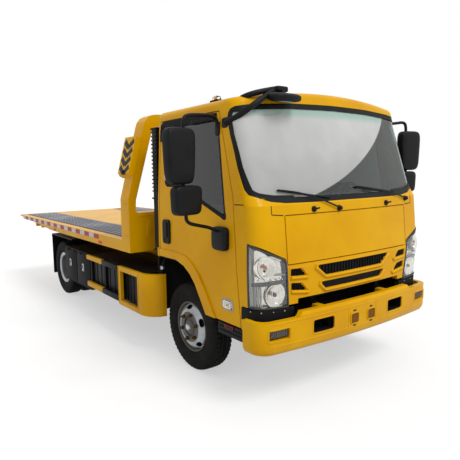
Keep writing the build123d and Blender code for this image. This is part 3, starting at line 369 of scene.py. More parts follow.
def prism_tape(name, colours):
    """Retro-reflective film: a honeycomb of bright cells with darker walls."""
    material, tree, shader = start_material(name, Roughness=0.4, Specular_IOR_Level=0.2)
    where = object_space(tree)
    settings = {"Scale": per_metre(9), "feature": "DISTANCE_TO_EDGE"}
    cells = add_node(tree, "ShaderNodeTexVoronoi", settings, {"Vector": where})
    two_tone(tree, shader, cells.outputs["Distance"], colours, 0.0, 0.12)
    raise_bumps(tree, shader, cells.outputs["Distance"], 0.2, 0.0006)
    return material


red_tape = prism_tape("red_prism_tape", ("6A0F0C", "A81A14"))
white_tape = prism_tape("white_prism_tape", ("8F9291", "C6C9C8"))
orange_prisms = prism_tape("orange_prism_reflector", ("9A2A06", "DE4A10"))
seat_cloth, tree, shader = start_material("woven_polyester", Roughness=0.9, Sheen_Weight=0.3)
where = object_space(tree)
mottle(tree, shader, where, ("2E3036", "44464D"), 30)
THREAD = 4
WAVE_UNIT = 6.3
threads = []
for direction in ("Y", "Z"):
    settings = {"Scale": per_metre(THREAD) / WAVE_UNIT, "bands_direction": direction}
    threads.append(add_node(tree, "ShaderNodeTexWave", settings, {"Vector": where}).outputs["Fac"])
raise_bumps(tree, shader, combine(tree, "MAXIMUM", *threads), 0.4, 0.001)
print("sheet goods ready")

# %% [markdown]
# ## Finishes on the solids
# Each solid names a slot in its record. This table gives each slot the material made above.

# %% Paint the solids
SLOT_FINISH = {
    "yellow_paint": yellow_enamel, "black_plastic": black_abs, "clear_lamp": lens_plastic,
    "red_lamp": red_acrylic, "window_glass": window_glass, "grey_trim": dash_abs, "seat_cloth": seat_cloth,
    "black_steel": chassis_black, "bare_steel": turned_steel, "cast_iron": cast_iron,
    "tank_aluminium": rolled_aluminium, "silver_wheel": wheel_silver, "tyre_rubber": tyre_rubber,
    "grey_plate": plate_paint,
}
for entry in frame["record"]["subparts"]:
    mesh = nodes[entry["node"]].data
    mesh.materials.clear()
    finish = windscreen_glass if entry["node"] == "cab_glass" else SLOT_FINISH[entry["material_slot"]]
    mesh.materials.append(finish)
print("painted", len(nodes), "solids")

# %% [markdown]
# ## Building pieces
# Small pieces are built as meshes in the truck's own frame, in metres, so a piece needs no later placing.
# A lathe turns a profile round an axis, a ribbon carries a cross-section along a path on the bodywork, and a
# pillow is a box with soft corners. Rays cast at the solids tell where the bodywork is.

# %% Mesh helpers
MM = 0.001
SIDES = (("left", 1), ("right", -1))


def at(x, y, z):
    """A point in metres from millimetres measured from the front axle, the middle and the ground."""
    return Vector((FRONT_AXLE + x * MM, y * MM, z * MM))


def skin_of(names):
    """A ray-cast tree of several solids at rest."""
    points, faces = [], []
    for name in names:
        mesh = nodes[name].data
        base = len(points)
        points += [vertex.co.copy() for vertex in mesh.vertices]
        faces += [[base + i for i in polygon.vertices] for polygon in mesh.polygons]
    return BVHTree.FromPolygons(points, faces)


def strike(skin, start, direction):
    """Where a ray meets the skin: the point and its outward normal, or None."""
    point, normal, _, _ = skin.ray_cast(start, direction.normalized())
    if point is None:
        return None
    if normal.dot(direction) > 0:
        normal = -normal
    return point, normal


def on_front(skin, y, z):
    return strike(skin, Vector((4.0, y * MM, z * MM)), Vector((-1, 0, 0)))


def on_side(skin, x, z, side):
    return strike(skin, at(x, side * 1100, z), Vector((0, -side, 0)))


def stitch(mesh, rings, closed_ring, closed_path, paint):
    """Join rows of points into a skin of quads; open rows get end caps."""
    rows = [[mesh.verts.new(point) for point in ring] for ring in rings]
    count = len(rows[0])
    last = len(rows) if closed_path else len(rows) - 1
    for i in range(last):
        near, far = rows[i], rows[(i + 1) % len(rows)]
        for j in range(count if closed_ring else count - 1):
            k = (j + 1) % count
            mesh.faces.new((near[j], near[k], far[k], far[j])).material_index = paint
    if closed_ring and not closed_path:
        mesh.faces.new(rows[0][::-1]).material_index = paint
        mesh.faces.new(rows[-1]).material_index = paint


def add_lathe(mesh, profile, centre, axis, steps, paint=0):
    """Turn (along, radius) pairs in millimetres round an axis; the profile closes on itself."""
    axis = Vector(axis).normalized()
    across = axis.orthogonal().normalized()
    up = axis.cross(across)
    rings = []
    for step in range(steps):
        angle = 2 * math.pi * step / steps
        out = across * math.cos(angle) + up * math.sin(angle)
        rings.append([centre + axis * (a * MM) + out * (max(r, 0.2) * MM) for a, r in profile])
    stitch(mesh, rings, True, True, paint)


def add_ribbon(mesh, stations, section, closed=False, paint=0):
    """Carry a section of (across, out) millimetres along stations of (point, normal)."""
    rings = []
    count = len(stations)
    for i, (point, normal) in enumerate(stations):
        ahead = stations[(i + 1) % count] if closed or i < count - 1 else stations[i]
        behind = stations[i - 1] if closed or i > 0 else stations[i]
        along = (ahead[0] - behind[0]).normalized()
        across = along.cross(normal).normalized()
        rings.append([point + across * (a * MM) + normal * (o * MM) for a, o in section])
    stitch(mesh, rings, True, closed, paint)


def add_tube(mesh, path, radius, sides=12, paint=0):
    """A round bar along points, in millimetres of radius; bends are eased between the points."""
    eased = ease(path, 3)
    normal = (eased[1] - eased[0]).orthogonal().normalized()
    stations = []
    for i, point in enumerate(eased):
        along = (eased[min(i + 1, len(eased) - 1)] - eased[max(i - 1, 0)]).normalized()
        normal = (normal - along * normal.dot(along)).normalized()
        stations.append((point, normal))
    circle = [(radius * math.cos(2 * math.pi * k / sides), radius * math.sin(2 * math.pi * k / sides))
              for k in range(sides)]
    add_ribbon(mesh, stations, circle, False, paint)


def ease(path, rounds):
    """Cut the corners off a path again and again until it bends softly."""
    points = [Vector(point) for point in path]
    for _ in range(rounds):
        soft = [points[0]]
        for first, second in zip(points, points[1:]):
            soft += [first.lerp(second, 0.25), first.lerp(second, 0.75)]
        points = soft + [points[-1]]
    return points


def in_mm(point):
    """The opposite of at: a point's place in millimetres from the front axle."""
    return (point.x - FRONT_AXLE) / MM, point.y / MM, point.z / MM


def stud(radius, height, chamfer):
    """The profile of a bolt head, for the lathe."""
    return (0, radius), (height - 2, radius), (height, radius - chamfer), (height, 0), (0, 0)


def give_wall(thing, thickness, offset):
    """Turn a skin into a sheet of a thickness in metres."""
    wall = thing.modifiers.new("wall", "SOLIDIFY")
    wall.thickness, wall.offset = thickness, offset


def add_slab(mesh, xs, across, zs, edge, paint=0):
    """A block from its two ends along X, its middle and half width along Y, and its two ends along Z."""
    middle, half = across
    add_block(mesh, (xs[0], middle - half, zs[0]), (xs[1], middle + half, zs[1]), edge, paint)


def add_block(mesh, low, high, edge, paint=0):
    """A block between two corners with bevelled edges; all in millimetres from the front axle."""
    made = bmesh.ops.create_cube(mesh, size=1.0)["verts"]
    low, high = at(*low), at(*high)
    size = high - low
    for vertex in made:
        vertex.co = low + Vector((
            (vertex.co.x + 0.5) * size.x, (vertex.co.y + 0.5) * size.y, (vertex.co.z + 0.5) * size.z
        ))
    edges = {e for vertex in made for e in vertex.link_edges}
    faces = {f for vertex in made for f in vertex.link_faces}
    bevelled = bmesh.ops.bevel(
        mesh, geom=list(edges), offset=edge * MM, segments=2, profile=0.6, affect="EDGES", clamp_overlap=True
    )
    faces |= set(bevelled["faces"])
    for face in [f for f in faces if f.is_valid]:
        face.material_index = paint


def add_pillow(mesh, centre, half, square, paint=0, turn=None, shape=None, around=28, up=16):
    """A rounded form: half sizes in millimetres, square 0.2 for boxy to 1 for an ellipsoid."""
    def bulge(value):
        return math.copysign(abs(value) ** square, value)

    rings = []
    for i in range(1, up):
        tilt = -math.pi / 2 + math.pi * i / up
        ring = []
        for j in range(around):
            spin = 2 * math.pi * j / around
            local = Vector((
                half[0] * bulge(math.cos(tilt)) * bulge(math.cos(spin)),
                half[1] * bulge(math.cos(tilt)) * bulge(math.sin(spin)),
                half[2] * bulge(math.sin(tilt)),
            ))
            local = shape(local) if shape else local
            ring.append(at(*centre) + (turn @ local if turn else local) * MM)
        rings.append(ring)
    stitch(mesh, rings, True, False, paint)


def piece(name, mesh, materials, body, replaces=(), sharp=38):
    """Finish a mesh as a named piece that rides a body."""
    bmesh.ops.recalc_face_normals(mesh, faces=mesh.faces)
    data = bpy.data.meshes.new(name)
    mesh.to_mesh(data)
    mesh.free()
    for material in materials if isinstance(materials, tuple) else (materials,):
        data.materials.append(material)
    data.polygons.foreach_set("use_smooth", [True] * len(data.polygons))
    data.set_sharp_from_angle(angle=math.radians(sharp))
    thing = bpy.data.objects.new(name, data)
    scene.collection.objects.link(thing)
    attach(thing, body)
    if replaces:
        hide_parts(*replaces)
    return thing


def along_line(first, last, count):
    return [(first[0] + (last[0] - first[0]) * i / count, first[1] + (last[1] - first[1]) * i / count)
            for i in range(count + 1)]


def along_outline(corners, gap, bend=55.0):
    """Points along a closed outline, about one gap apart, with its corners eased over a bend."""
    soft = []
    count = len(corners)
    for i, corner in enumerate(corners):
        here, before, after = Vector(corner), Vector(corners[i - 1]), Vector(corners[(i + 1) % count])
        for other in (before, after):
            reach = min(bend, (other - here).length * 0.4)
            soft.append((here, here + (other - here).normalized() * reach))
    outline = []
    for i in range(count):
        corner, start = soft[2 * i]
        end = soft[2 * i + 1][1]
        for k in range(7):
            t = k / 6
            outline.append(start * (1 - t) ** 2 + corner * 2 * t * (1 - t) + end * t ** 2)
        nxt = soft[(2 * i + 2) % (2 * count)][1]
        steps = max(1, int((nxt - end).length / gap))
        outline += [end.lerp(nxt, k / steps) for k in range(1, steps)]
    return [(p.x, p.y) for p in outline]


FRONT_NODES = ("cab_shell", "front_lid", "headlamps", "grille_inserts", "windscreen_surround", "cab_glass")
front_skin = skin_of(FRONT_NODES)
side_skin = {
    name: skin_of(("cab_shell", "headlamps", f"door_{name}", f"door_glass_{name}", f"door_fittings_{name}"))
    for name, _ in SIDES
}
insert_skin = skin_of(("grille_inserts",))
bumper_skin = skin_of(("front_bumper", "fog_lamps"))
print("mesh helpers ready")

# %% [markdown]
# ## Tyres
# Truck tyres are built up on a drum and pressed in a mould, so each is a turned form with moulded cuts.
# The profile is turned once, with ribs and grooves in the tread; every third step drops the outer ribs.
# The same tyre is used six times, and the rear ones come in pairs.

# %% Tyres
TREAD_RADIUS = 386
GROOVE_FLOOR = 376
TYRE_STEPS = 168
HALF_TYRE = (
    (54, 206), (66, 213), (72, 222), (80, 229), (84, 232), (86, 240), (90, 252), (93, 272), (94.5, 296),
    (93.5, 318), (91, 338), (91.5, 342), (90, 346), (86, 362), (82, 372), (74, 380), (66, 383),
    (44, TREAD_RADIUS),
    (42, GROOVE_FLOOR), (34, GROOVE_FLOOR), (32, TREAD_RADIUS), (16, TREAD_RADIUS), (14, GROOVE_FLOOR),
    (6, GROOVE_FLOOR), (4, TREAD_RADIUS),
)
TYRE_PROFILE = HALF_TYRE + tuple((-y, r) for y, r in reversed(HALF_TYRE))
CUT_FROM, CUT_DEPTH = 44, 9


def add_tyre(mesh, centre):
    """One tyre on the Y axis, with a closed foot and cuts across its shoulders."""
    rings = []
    for step in range(TYRE_STEPS):
        angle = 2 * math.pi * step / TYRE_STEPS
        ring = []
        for y, radius in TYRE_PROFILE:
            cut = CUT_DEPTH if step % 3 == 0 and CUT_FROM <= abs(y) <= 86 and radius > 360 else 0
            reach = (radius - cut) * MM
            ring.append(centre + Vector((math.cos(angle) * reach, y * MM, math.sin(angle) * reach)))
        rings.append(ring)
    stitch(mesh, rings, True, True, 0)


TYRE_SETS = (
    # node, body, X of the axle, Y of each tyre
    ("front_tyre_left", "front_left_wheel", 0, (840,)),
    ("front_tyre_right", "front_right_wheel", 0, (-840,)),
    ("rear_tyres_left", "rear_left_wheels", -3360, (835, 605)),
    ("rear_tyres_right", "rear_right_wheels", -3360, (-835, -605)),
)
for node, body, axle_x, tyre_ys in TYRE_SETS:
    mesh = bmesh.new()
    for tyre_y in tyre_ys:
        add_tyre(mesh, at(axle_x, tyre_y, 387.5))
    piece(node.replace("tyre", "treaded_tyre"), mesh, tyre_rubber, body, (node,), 30)
print("tyres made:", sum(len(row[3]) for row in TYRE_SETS))

# %% [markdown]
# ## Headlamps
# Each lamp is a clear moulded cover over a bright bowl. The cover follows the cab's rounded corner, so its
# points are cast onto the solid that stands for it. Behind it lie two tiers with round reflectors and bulbs.
# A bezel holds the edge, and a rubber strip fills the gap between the lamp and the bumper.

# %% Headlamps
CORNER_X, CORNER_Y, CORNER_RADIUS = 848, 885, 115
LAMP_TOP, LAMP_FOOT, LAMP_END = (1100, 1232), (752, 768), 352
LAMP_INNER = 700
LAMP_WALL, BOWL_DEPTH = 0.003, 0.030
MAIN_BOWL = ((-30, 88), (-8, 87), (-8, 82), (-15, 68), (-23, 42), (-27, 18), (-30, 18))
LAMP_SPLIT = 934


def lamp_spot(u, t, side):
    """A point on the lamp's face: u from its inner to its outer edge, t from its foot to its top."""
    top = LAMP_TOP[0] + (LAMP_TOP[1] - LAMP_TOP[0]) * u
    foot = LAMP_FOOT[0] + (LAMP_FOOT[1] - LAMP_FOOT[0]) * u
    z = foot + (top - foot) * t
    inner = 13 + 32 * t
    s = inner + (LAMP_END - inner) * u
    if s < CORNER_Y - LAMP_INNER:
        return on_front(front_skin, side * (LAMP_INNER + s), z)
    angle = (s - (CORNER_Y - LAMP_INNER)) / CORNER_RADIUS
    aim = Vector((math.cos(angle), side * math.sin(angle), 0))
    return strike(front_skin, at(CORNER_X, side * CORNER_Y, z) + aim * 0.5, -aim)


def split_level(u):
    return (LAMP_SPLIT - LAMP_FOOT[0]) / (LAMP_TOP[0] - LAMP_FOOT[0]) * (1 - u) + 0.36 * u


COVER_ROWS, COVER_COLUMNS = 14, 18
for name, side in SIDES:
    spots = [[lamp_spot(i / COVER_COLUMNS, j / COVER_ROWS, side) for i in range(COVER_COLUMNS + 1)]
             for j in range(COVER_ROWS + 1)]
    mesh = bmesh.new()
    stitch(mesh, [[p + n * 0.001 for p, n in row] for row in spots], False, False, 0)
    stands_for = ("headlamps",) if side > 0 else ()
    cover = piece(f"headlamp_cover_{name}", mesh, lens_plastic, "cab", stands_for)
    give_wall(cover, LAMP_WALL, -1.0)
    mesh = bmesh.new()
    stitch(mesh, [[p - n * BOWL_DEPTH for p, n in row] for row in spots], False, False, 0)
    bowl = piece(f"headlamp_bowl_{name}", mesh, chrome_plate, "cab")
    give_wall(bowl, LAMP_WALL, -1.0)
    mesh = bmesh.new()
    edge = [lamp_spot(i / 16, 0.012, side) for i in range(17)]
    edge += [lamp_spot(1, j / 12, side) for j in range(1, 12)]
    edge += [lamp_spot(1 - i / 16, 0.988, side) for i in range(17)]
    edge += [lamp_spot(0, 1 - j / 12, side) for j in range(1, 12)]
    add_ribbon(mesh, edge, ((-7, -30), (-7, 3), (-4, 5), (4, 5), (7, 3), (7, -30)), True, 0)
    shelf = [lamp_spot(0.03 + 0.94 * i / 16, split_level(i / 16), side) for i in range(17)]
    add_ribbon(mesh, shelf, ((-9, -31), (-9, -7), (-6, -4), (6, -4), (9, -7), (9, -31)), False, 0)
    strip = [lamp_spot(0.955, 0.03 + 0.94 * j / 12, side) for j in range(13)]
    add_ribbon(mesh, strip, ((-13, -31), (-13, -8), (-8, -4), (8, -4), (13, -8), (13, -31)), False, 1)
    for u in (0.7, 0.77, 0.84, 0.905):
        rib = [lamp_spot(u, 0.03 + (split_level(u) - 0.06) * j / 6, side) for j in range(7)]
        add_ribbon(mesh, rib, ((-7, -31), (-5, -12), (0, -9), (5, -12), (7, -31)), False, 1)
    step = [lamp_spot(0.03 + 0.88 * i / 16, split_level(i / 16) + 0.16, side) for i in range(17)]
    add_ribbon(mesh, step, ((-5, -31), (-5, -16), (0, -12), (5, -16), (5, -31)), False, 1)
    for k in range(5):
        point, normal = lamp_spot(0.12 + 0.16 * k, split_level(0.12 + 0.16 * k) + 0.075, side)
        add_lathe(mesh, ((-30, 6), (-12, 6), (-9, 4), (-8, 0)), point, normal, 12, 2)
    piece(f"headlamp_bezel_{name}", mesh, (bezel_abs, lamp_grey, chrome_plate), "cab")
    mesh = bmesh.new()
    point, normal = lamp_spot(0.33, 0.25, side)
    add_lathe(mesh, MAIN_BOWL, point, normal, 40, 0)
    add_lathe(mesh, ((-30, 15), (-10, 13), (-6, 8), (-5, 0)), point, normal, 20, 2)
    for k in range(9):
        facet = [lamp_spot(0.12 + 0.05 * k, 0.1 + 0.03 * j, side) for j in range(11)]
        add_ribbon(mesh, facet, ((-6, -31), (-4, -25), (0, -23), (4, -25), (6, -31)), False, 0)
    point, normal = lamp_spot(0.58, 0.72, side)
    add_lathe(mesh, ((-30, 82), (-10, 80), (-10, 75), (-20, 54), (-27, 22), (-30, 22)), point, normal, 40, 0)
    add_lathe(mesh, ((-30, 9), (-22, 9), (-19, 7), (-19, 0)), point - Vector((0, 0, 0.02)), normal, 20, 2)
    add_lathe(mesh, ((-26, 10), (-14, 15), (-9, 11), (-7, 0)), point + Vector((0, 0, 0.006)), normal, 20, 1)
    piece(
        f"headlamp_reflectors_{name}", mesh, (chrome_plate, amber_acrylic, black_abs), "cab"
    )
    mesh = bmesh.new()
    foot = [lamp_spot(i / 20, 0.0, side) for i in range(21)]
    inner_end, facing = foot[0]
    foot.insert(0, (inner_end - Vector((0, side * 0.06, 0)), facing))
    tail = [on_side(side_skin[name], x, 768, side) for x in (835, 815, 795, 782)]
    foot += [(point + Vector((0, side * 0.001, 0)), normal) for point, normal in tail]
    drop = Vector((0, 0, 0.056))
    foot = [(point - drop, Vector((normal.x, normal.y, 0)).normalized()) for point, normal in foot]
    add_ribbon(mesh, foot, ((-48, -26), (-48, -3), (-43, 1), (43, 1), (48, -3), (48, -26)))
    for i in (3, 9, 15, 20):
        point, normal = foot[i]
        add_lathe(mesh, stud(5, 4, 2), point + Vector((0, 0, 0.030)), normal, 10, 1)
    piece(f"headlamp_foot_rubber_{name}", mesh, (seal_rubber, turned_steel), "cab")
print("headlamps made")

# %% [markdown]
# ## Grille slots
# The front panel has a wide upper slot with upright fins, a lower one backed by diagonal mesh and two ribbed
# pairs at the sides. Fins and mesh are thin plastic bars set on the black inserts.
# A rolled lip of body paint runs round each slot, where the sheet is folded back, so it catches the light.

# %% Grille slots
UPPER_SLOT = ((-455, 1028), (455, 1028), (341, 943), (-341, 943))
LOWER_SLOT = ((-405, 894), (405, 894), (340, 838), (-340, 838))
SIDE_SLOTS = (
    ((600, 1026), (703, 1030), (700, 977), (534, 966)),
    ((592, 914), (694, 926), (690, 872), (524, 850)),
)
FIN = ((-3, -3), (-3, 9), (-1.5, 11), (1.5, 11), (3, 9), (3, -3))
MESH_BAR = ((-2.5, -2), (-2.5, 4), (2.5, 4), (2.5, -2))


def inside(outline, y, z):
    hit = False
    for (y1, z1), (y2, z2) in zip(outline, outline[1:] + outline[:1]):
        if (z1 > z) != (z2 > z) and y < y1 + (z - z1) * (y2 - y1) / (z2 - z1):
            hit = not hit
    return hit


def bars_across(mesh, outline, slant, gap, section):
    """Parallel bars clipped to a slot; slant is the sideways run of a bar per rise."""
    low, high = min(z for _, z in outline) + 2, max(z for _, z in outline) - 2
    reach = max(abs(y) for y, _ in outline) + 120
    start = -reach
    while start < reach:
        line = [(start + slant * (high - low) * i / 12, low + (high - low) * i / 12) for i in range(13)]
        run = [on_front(insert_skin, y, z) for y, z in line if inside(outline, y, z)]
        run = [station for station in run if station]
        if len(run) > 2:
            add_ribbon(mesh, run, section)
        start += gap


def mirrored_slot(outline, side):
    return tuple((side * y, z) for y, z in outline)


mesh = bmesh.new()
bars_across(mesh, UPPER_SLOT, 0.0, 34, FIN)
for slant in (1.0, -1.0):
    bars_across(mesh, LOWER_SLOT, slant, 26, MESH_BAR)
for slot in SIDE_SLOTS:
    for _, side in SIDES:
        bars_across(mesh, mirrored_slot(slot, side), 0.0, 17, FIN)
piece("grille_fins_and_mesh", mesh, black_abs, "cab")
mesh = bmesh.new()
LIP = ((-5, -12), (-5, 1), (-2, 3.5), (2, 3.5), (5, 1), (5, -12))
slots = [UPPER_SLOT, LOWER_SLOT] + [mirrored_slot(s, side) for s in SIDE_SLOTS for _, side in SIDES]
for outline in slots:
    centre_y = sum(y for y, _ in outline) / 4
    centre_z = sum(z for _, z in outline) / 4
    grown = [(y + math.copysign(6, y - centre_y), z + math.copysign(6, z - centre_z)) for y, z in outline]
    path = [p for a, b in zip(grown, grown[1:] + grown[:1]) for p in along_line(a, b, 16)[:-1]]
    add_ribbon(mesh, [on_front(front_skin, y, z) for y, z in path], LIP, True)
SILL = ((-3, -10), (-3, 4), (3, 10), (12, 12), (20, 7), (27, -3))
sills = [[outline[0], outline[3], outline[2], outline[1]] for outline in (UPPER_SLOT, LOWER_SLOT)]
for slot in SIDE_SLOTS:
    sills.append([slot[0], slot[3], slot[2]])
    sills.append([(-y, z) for y, z in (slot[2], slot[3], slot[0])])
for corners in sills:
    run = [Vector((y, z, 0)) for a, b in zip(corners, corners[1:]) for y, z in along_line(a, b, 12)[:-1]]
    run = ease(run + [Vector((*corners[-1], 0))], 1)
    stations = [on_front(front_skin, p.x, p.y - 4) for p in run]
    shell = [(p, Vector((1, 0, 0.12)).normalized()) for p, _ in (s for s in stations if s)]
    front_x = max(p.x for p, _ in shell)
    add_ribbon(mesh, [(Vector((max(p.x, front_x - 0.02), p.y, p.z)), n) for p, n in shell], SILL)
piece("grille_slot_lips", mesh, yellow_enamel, "cab")
print("grille slots made:", len(slots))

# %% [markdown]
# ## Door fittings
# Each door carries a rubber seal round its glass, a rain visor, a grained pull handle and a pair of mirrors.
# The seal is extruded and pushed in, so it is a ribbon along the window's edge. Mirror housings are moulded
# shells with soft corners, held by two bent tubes; the lower tube leaves from a rounded cover on the door.

# %% Door fittings
DOOR_WINDOW = ((622, 1366), (487, 2150), (-285, 2140), (-282, 1612), (-50, 1612))
MARKER = ((562, 700), (684, 700), (680, 778), (558, 778))
SEAL = ((-15, -22), (-15, 1), (-10, 4), (9, 4), (14, -1), (14, -22))
VISOR = ((-30, 0), (-30, 5), (-24, 9), (20, 17), (25, 14), (25, 6), (20, 0))
MIRROR_X = 600
MIRROR_PLACE = {"left": (1332, 58), "right": (1388, 0)}
# Each mirror: height of its middle, half sizes, how far it stands in from the upper one.
MIRROR_HALVES = ((1848, (50, 122, 193), 0), (1542, (50, 122, 104), 50))


def inset_outline(points, gap):
    """Move a closed outline inwards by a gap."""
    count = len(points)
    area = sum(points[i - 1][0] * points[i][1] - points[i][0] * points[i - 1][1] for i in range(count))
    moved = []
    for i in range(count):
        ahead, behind = Vector(points[(i + 1) % count]), Vector(points[i - 1])
        along = (ahead - behind).normalized()
        inward = Vector((-along.y, along.x)) * math.copysign(1, area)
        moved.append(tuple(Vector(points[i]) + inward * gap))
    return moved


def mirror_shape(local):
    """Fuller in front than behind, with a slight taper to the foot."""
    taper = 1.0 + 0.0004 * local.z
    return Vector((local.x * (1.1 if local.x > 0 else 0.7), local.y * taper, local.z))


for name, side in SIDES:
    skin = side_skin[name]
    mirror_y, raised = MIRROR_PLACE[name]
    mesh = bmesh.new()
    path = inset_outline(along_outline(DOOR_WINDOW, 40), 11)
    add_ribbon(mesh, [on_side(skin, x, z, side) for x, z in path], SEAL, True)
    visor_path = along_line((470, 2150), (-300, 2158), 20)
    visor_path += [(-322, 2140), (-330, 2100), (-332, 2050), (-330, 2010)]
    visor_run = [on_side(skin, x, z, side) for x, z in visor_path]
    lean = Vector((0, side, 0.1)).normalized()
    eaves = [Vector((p.x, side * 0.958 - side * (p.z - 2.15) * 0.05, p.z)) for p, _ in visor_run]
    add_ribbon(mesh, [(point, lean) for point in eaves], VISOR)
    piece(
        f"window_seal_and_visor_{name}", mesh, seal_rubber, f"{name}_door",
        (f"door_fittings_{name}",),
    )
    mesh = bmesh.new()
    add_pillow(mesh, (-240, side * 1001, 1215), (60, 17, 108), 0.3)
    add_pillow(mesh, (-236, side * 1019, 1232), (30, 9, 70), 0.4)
    add_pillow(mesh, (-262, side * 1018, 1140), (16, 4, 16), 0.6)
    add_pillow(mesh, (566, side * 1008, 1238), (88, 40, 90), 0.42)
    turned = Matrix.Rotation(side * math.radians(-9), 3, "Z")
    for z, half, inward in MIRROR_HALVES:
        centre = (MIRROR_X, side * (mirror_y - inward), z + raised)
        add_pillow(mesh, centre, half, 0.36, 0, turned, mirror_shape, 36, 24)
    add_tube(mesh, (
        at(560, side * 1030, 1290), at(565, side * 1110, 1330), at(575, side * 1210, 1352),
        at(MIRROR_X, side * (mirror_y - 50), 1384 + raised),
        at(MIRROR_X, side * (mirror_y - 50), 1460 + raised),
    ), 13)
    add_tube(mesh, (
        at(490, side * 962, 2050), at(498, side * 985, 2120), at(515, side * 1040, 2146 + 0.3 * raised),
        at(560, side * 1180, 2140 + 0.6 * raised), at(590, side * (mirror_y - 78), 2128 + raised),
        at(MIRROR_X, side * (mirror_y - 43), 2100 + raised), at(MIRROR_X, side * (mirror_y - 43), 2010),
    ), 14)
    link_y = side * (mirror_y - 30)
    add_tube(mesh, (at(MIRROR_X, link_y, 1600 + raised), at(MIRROR_X, link_y, 1690 + raised)), 15)
    add_pillow(mesh, (488, side * 962, 2056), (30, 16, 52), 0.5)
    for z, half, inward in MIRROR_HALVES:
        back = at(MIRROR_X, side * (mirror_y - inward), z) + turned @ Vector((-half[0] * 0.72, 0, 0)) * MM
        spot = ((back.x - FRONT_AXLE) / MM, back.y / MM, z + raised)
        add_pillow(mesh, spot, (3, half[1] - 20, half[2] - 20), 0.25, 1, turned)
    piece(f"mirrors_and_handle_{name}", mesh, (black_abs, chrome_plate), f"{name}_door")
    mesh = bmesh.new()
    point, _ = on_side(skin, 622, 738, side)
    around = [on_side(skin, x, z, side) for x, z in along_outline(MARKER, 20, 18)]
    add_ribbon(mesh, around, ((-5, -3), (-5, 7), (0, 10), (5, 7), (5, -3)), True, 0)
    spot = in_mm(point)
    add_pillow(mesh, spot, (52, 4, 31), 0.3, 3)
    for k in range(4):
        add_pillow(mesh, (spot[0] - 33 + 22 * k, spot[1] + side * 5, spot[2]), (8, 5, 22), 0.5, 3)
    add_pillow(mesh, (spot[0], spot[1] + side * 3, spot[2]), (56, 15, 34), 0.3, 1)
    add_pillow(mesh, (spot[0] + 8, spot[1] + side * 7, spot[2]), (9, 6, 9), 0.8, 2)
    finishes = (lamp_grey, lens_plastic, amber_acrylic, chrome_plate)
    piece(f"side_marker_lamp_{name}", mesh, finishes, f"{name}_door")
print("door fittings made")

# %% [markdown]
# ## Windscreen furniture
# Two wipers park in tandem along the foot of the glass, each a stiff arm with a blade below it.
# Washer nozzles sit on the cowl between them. A seam separates that cowl from the lid and the front pillars.

# %% Windscreen furniture
WIPERS = (
    # pivot y and z, elbow, tip, blade's inner end
    ((-169, 1440), (-560, 1568), (-745, 1592), (-250, 1520)),
    ((751, 1472), (300, 1566), (98, 1592), (600, 1532)),
)


def lifted(y, z, lift):
    point, normal = on_front(front_skin, y, z)
    return point + normal * (lift * MM)


mesh = bmesh.new()
for pivot, elbow, tip, blade_end in WIPERS:
    foot, normal = on_front(front_skin, *pivot)
    add_lathe(mesh, ((-4, 24), (4, 24), (10, 18), (24, 16), (28, 10), (29, 0), (-4, 0)), foot, normal, 20)
    middle = (0.5 * (pivot[0] + elbow[0]), 0.5 * (pivot[1] + elbow[1]))
    arm = [lifted(*pivot, 18), lifted(*middle, 26), lifted(*elbow, 26), lifted(*tip, 20)]
    stations = [(point, Vector((1, 0, 0.25)).normalized()) for point in ease(arm, 2)]
    add_ribbon(mesh, stations, ((-6, -2), (-6, 2), (-3, 4), (3, 4), (6, 2), (6, -2)))
    blade = [on_front(front_skin, y, z) for y, z in along_line(tip, blade_end, 14)]
    add_ribbon(mesh, blade, ((-2, 0.5), (-3, 7), (-6, 10), (-4, 13), (4, 13), (6, 10), (3, 7), (2, 0.5)))
piece("wipers", mesh, black_abs, "cab", (), 30)
mesh = bmesh.new()
for side in (1, -1):
    point, normal = on_front(front_skin, side * 443, 1448)
    add_lathe(mesh, ((-4, 23), (7, 23), (14, 17), (17, 0), (-4, 0)), point, normal, 20)
    spout = Vector((0, 0.034, 0.006))
    add_tube(mesh, (point + normal * 0.01, point + normal * 0.024, point + normal * 0.026 + spout), 7)
piece("washer_nozzles", mesh, black_abs, "cab")
SEAM = ((-3.5, -2), (-3.5, 0.6), (3.5, 0.6), (3.5, -2))
mesh = bmesh.new()
for name, side in SIDES:
    for first, last in (((side * 845, 1490), (side * 845, 1428)), ((side * 845, 1428), (side * 742, 1418))):
        add_ribbon(mesh, [on_front(front_skin, y, z) for y, z in along_line(first, last, 8)], SEAM)
    seam = [on_side(side_skin[name], x, z, side) for x, z in along_line((712, 1498), (815, 1500), 6)]
    add_ribbon(mesh, [station for station in seam if station], SEAM)
piece("cowl_seams", mesh, seal_rubber, "cab")
print("windscreen furniture made")

# %% [markdown]
# ## Inner mirror and look-down mirror
# A look-down mirror hangs over the right front corner so that the driver sees the bumper.
# It is an oval dome on two stout tubes from the pillar and the roof edge.
# Inside, the driver's mirror and two sun visors hang behind the top of the windscreen.

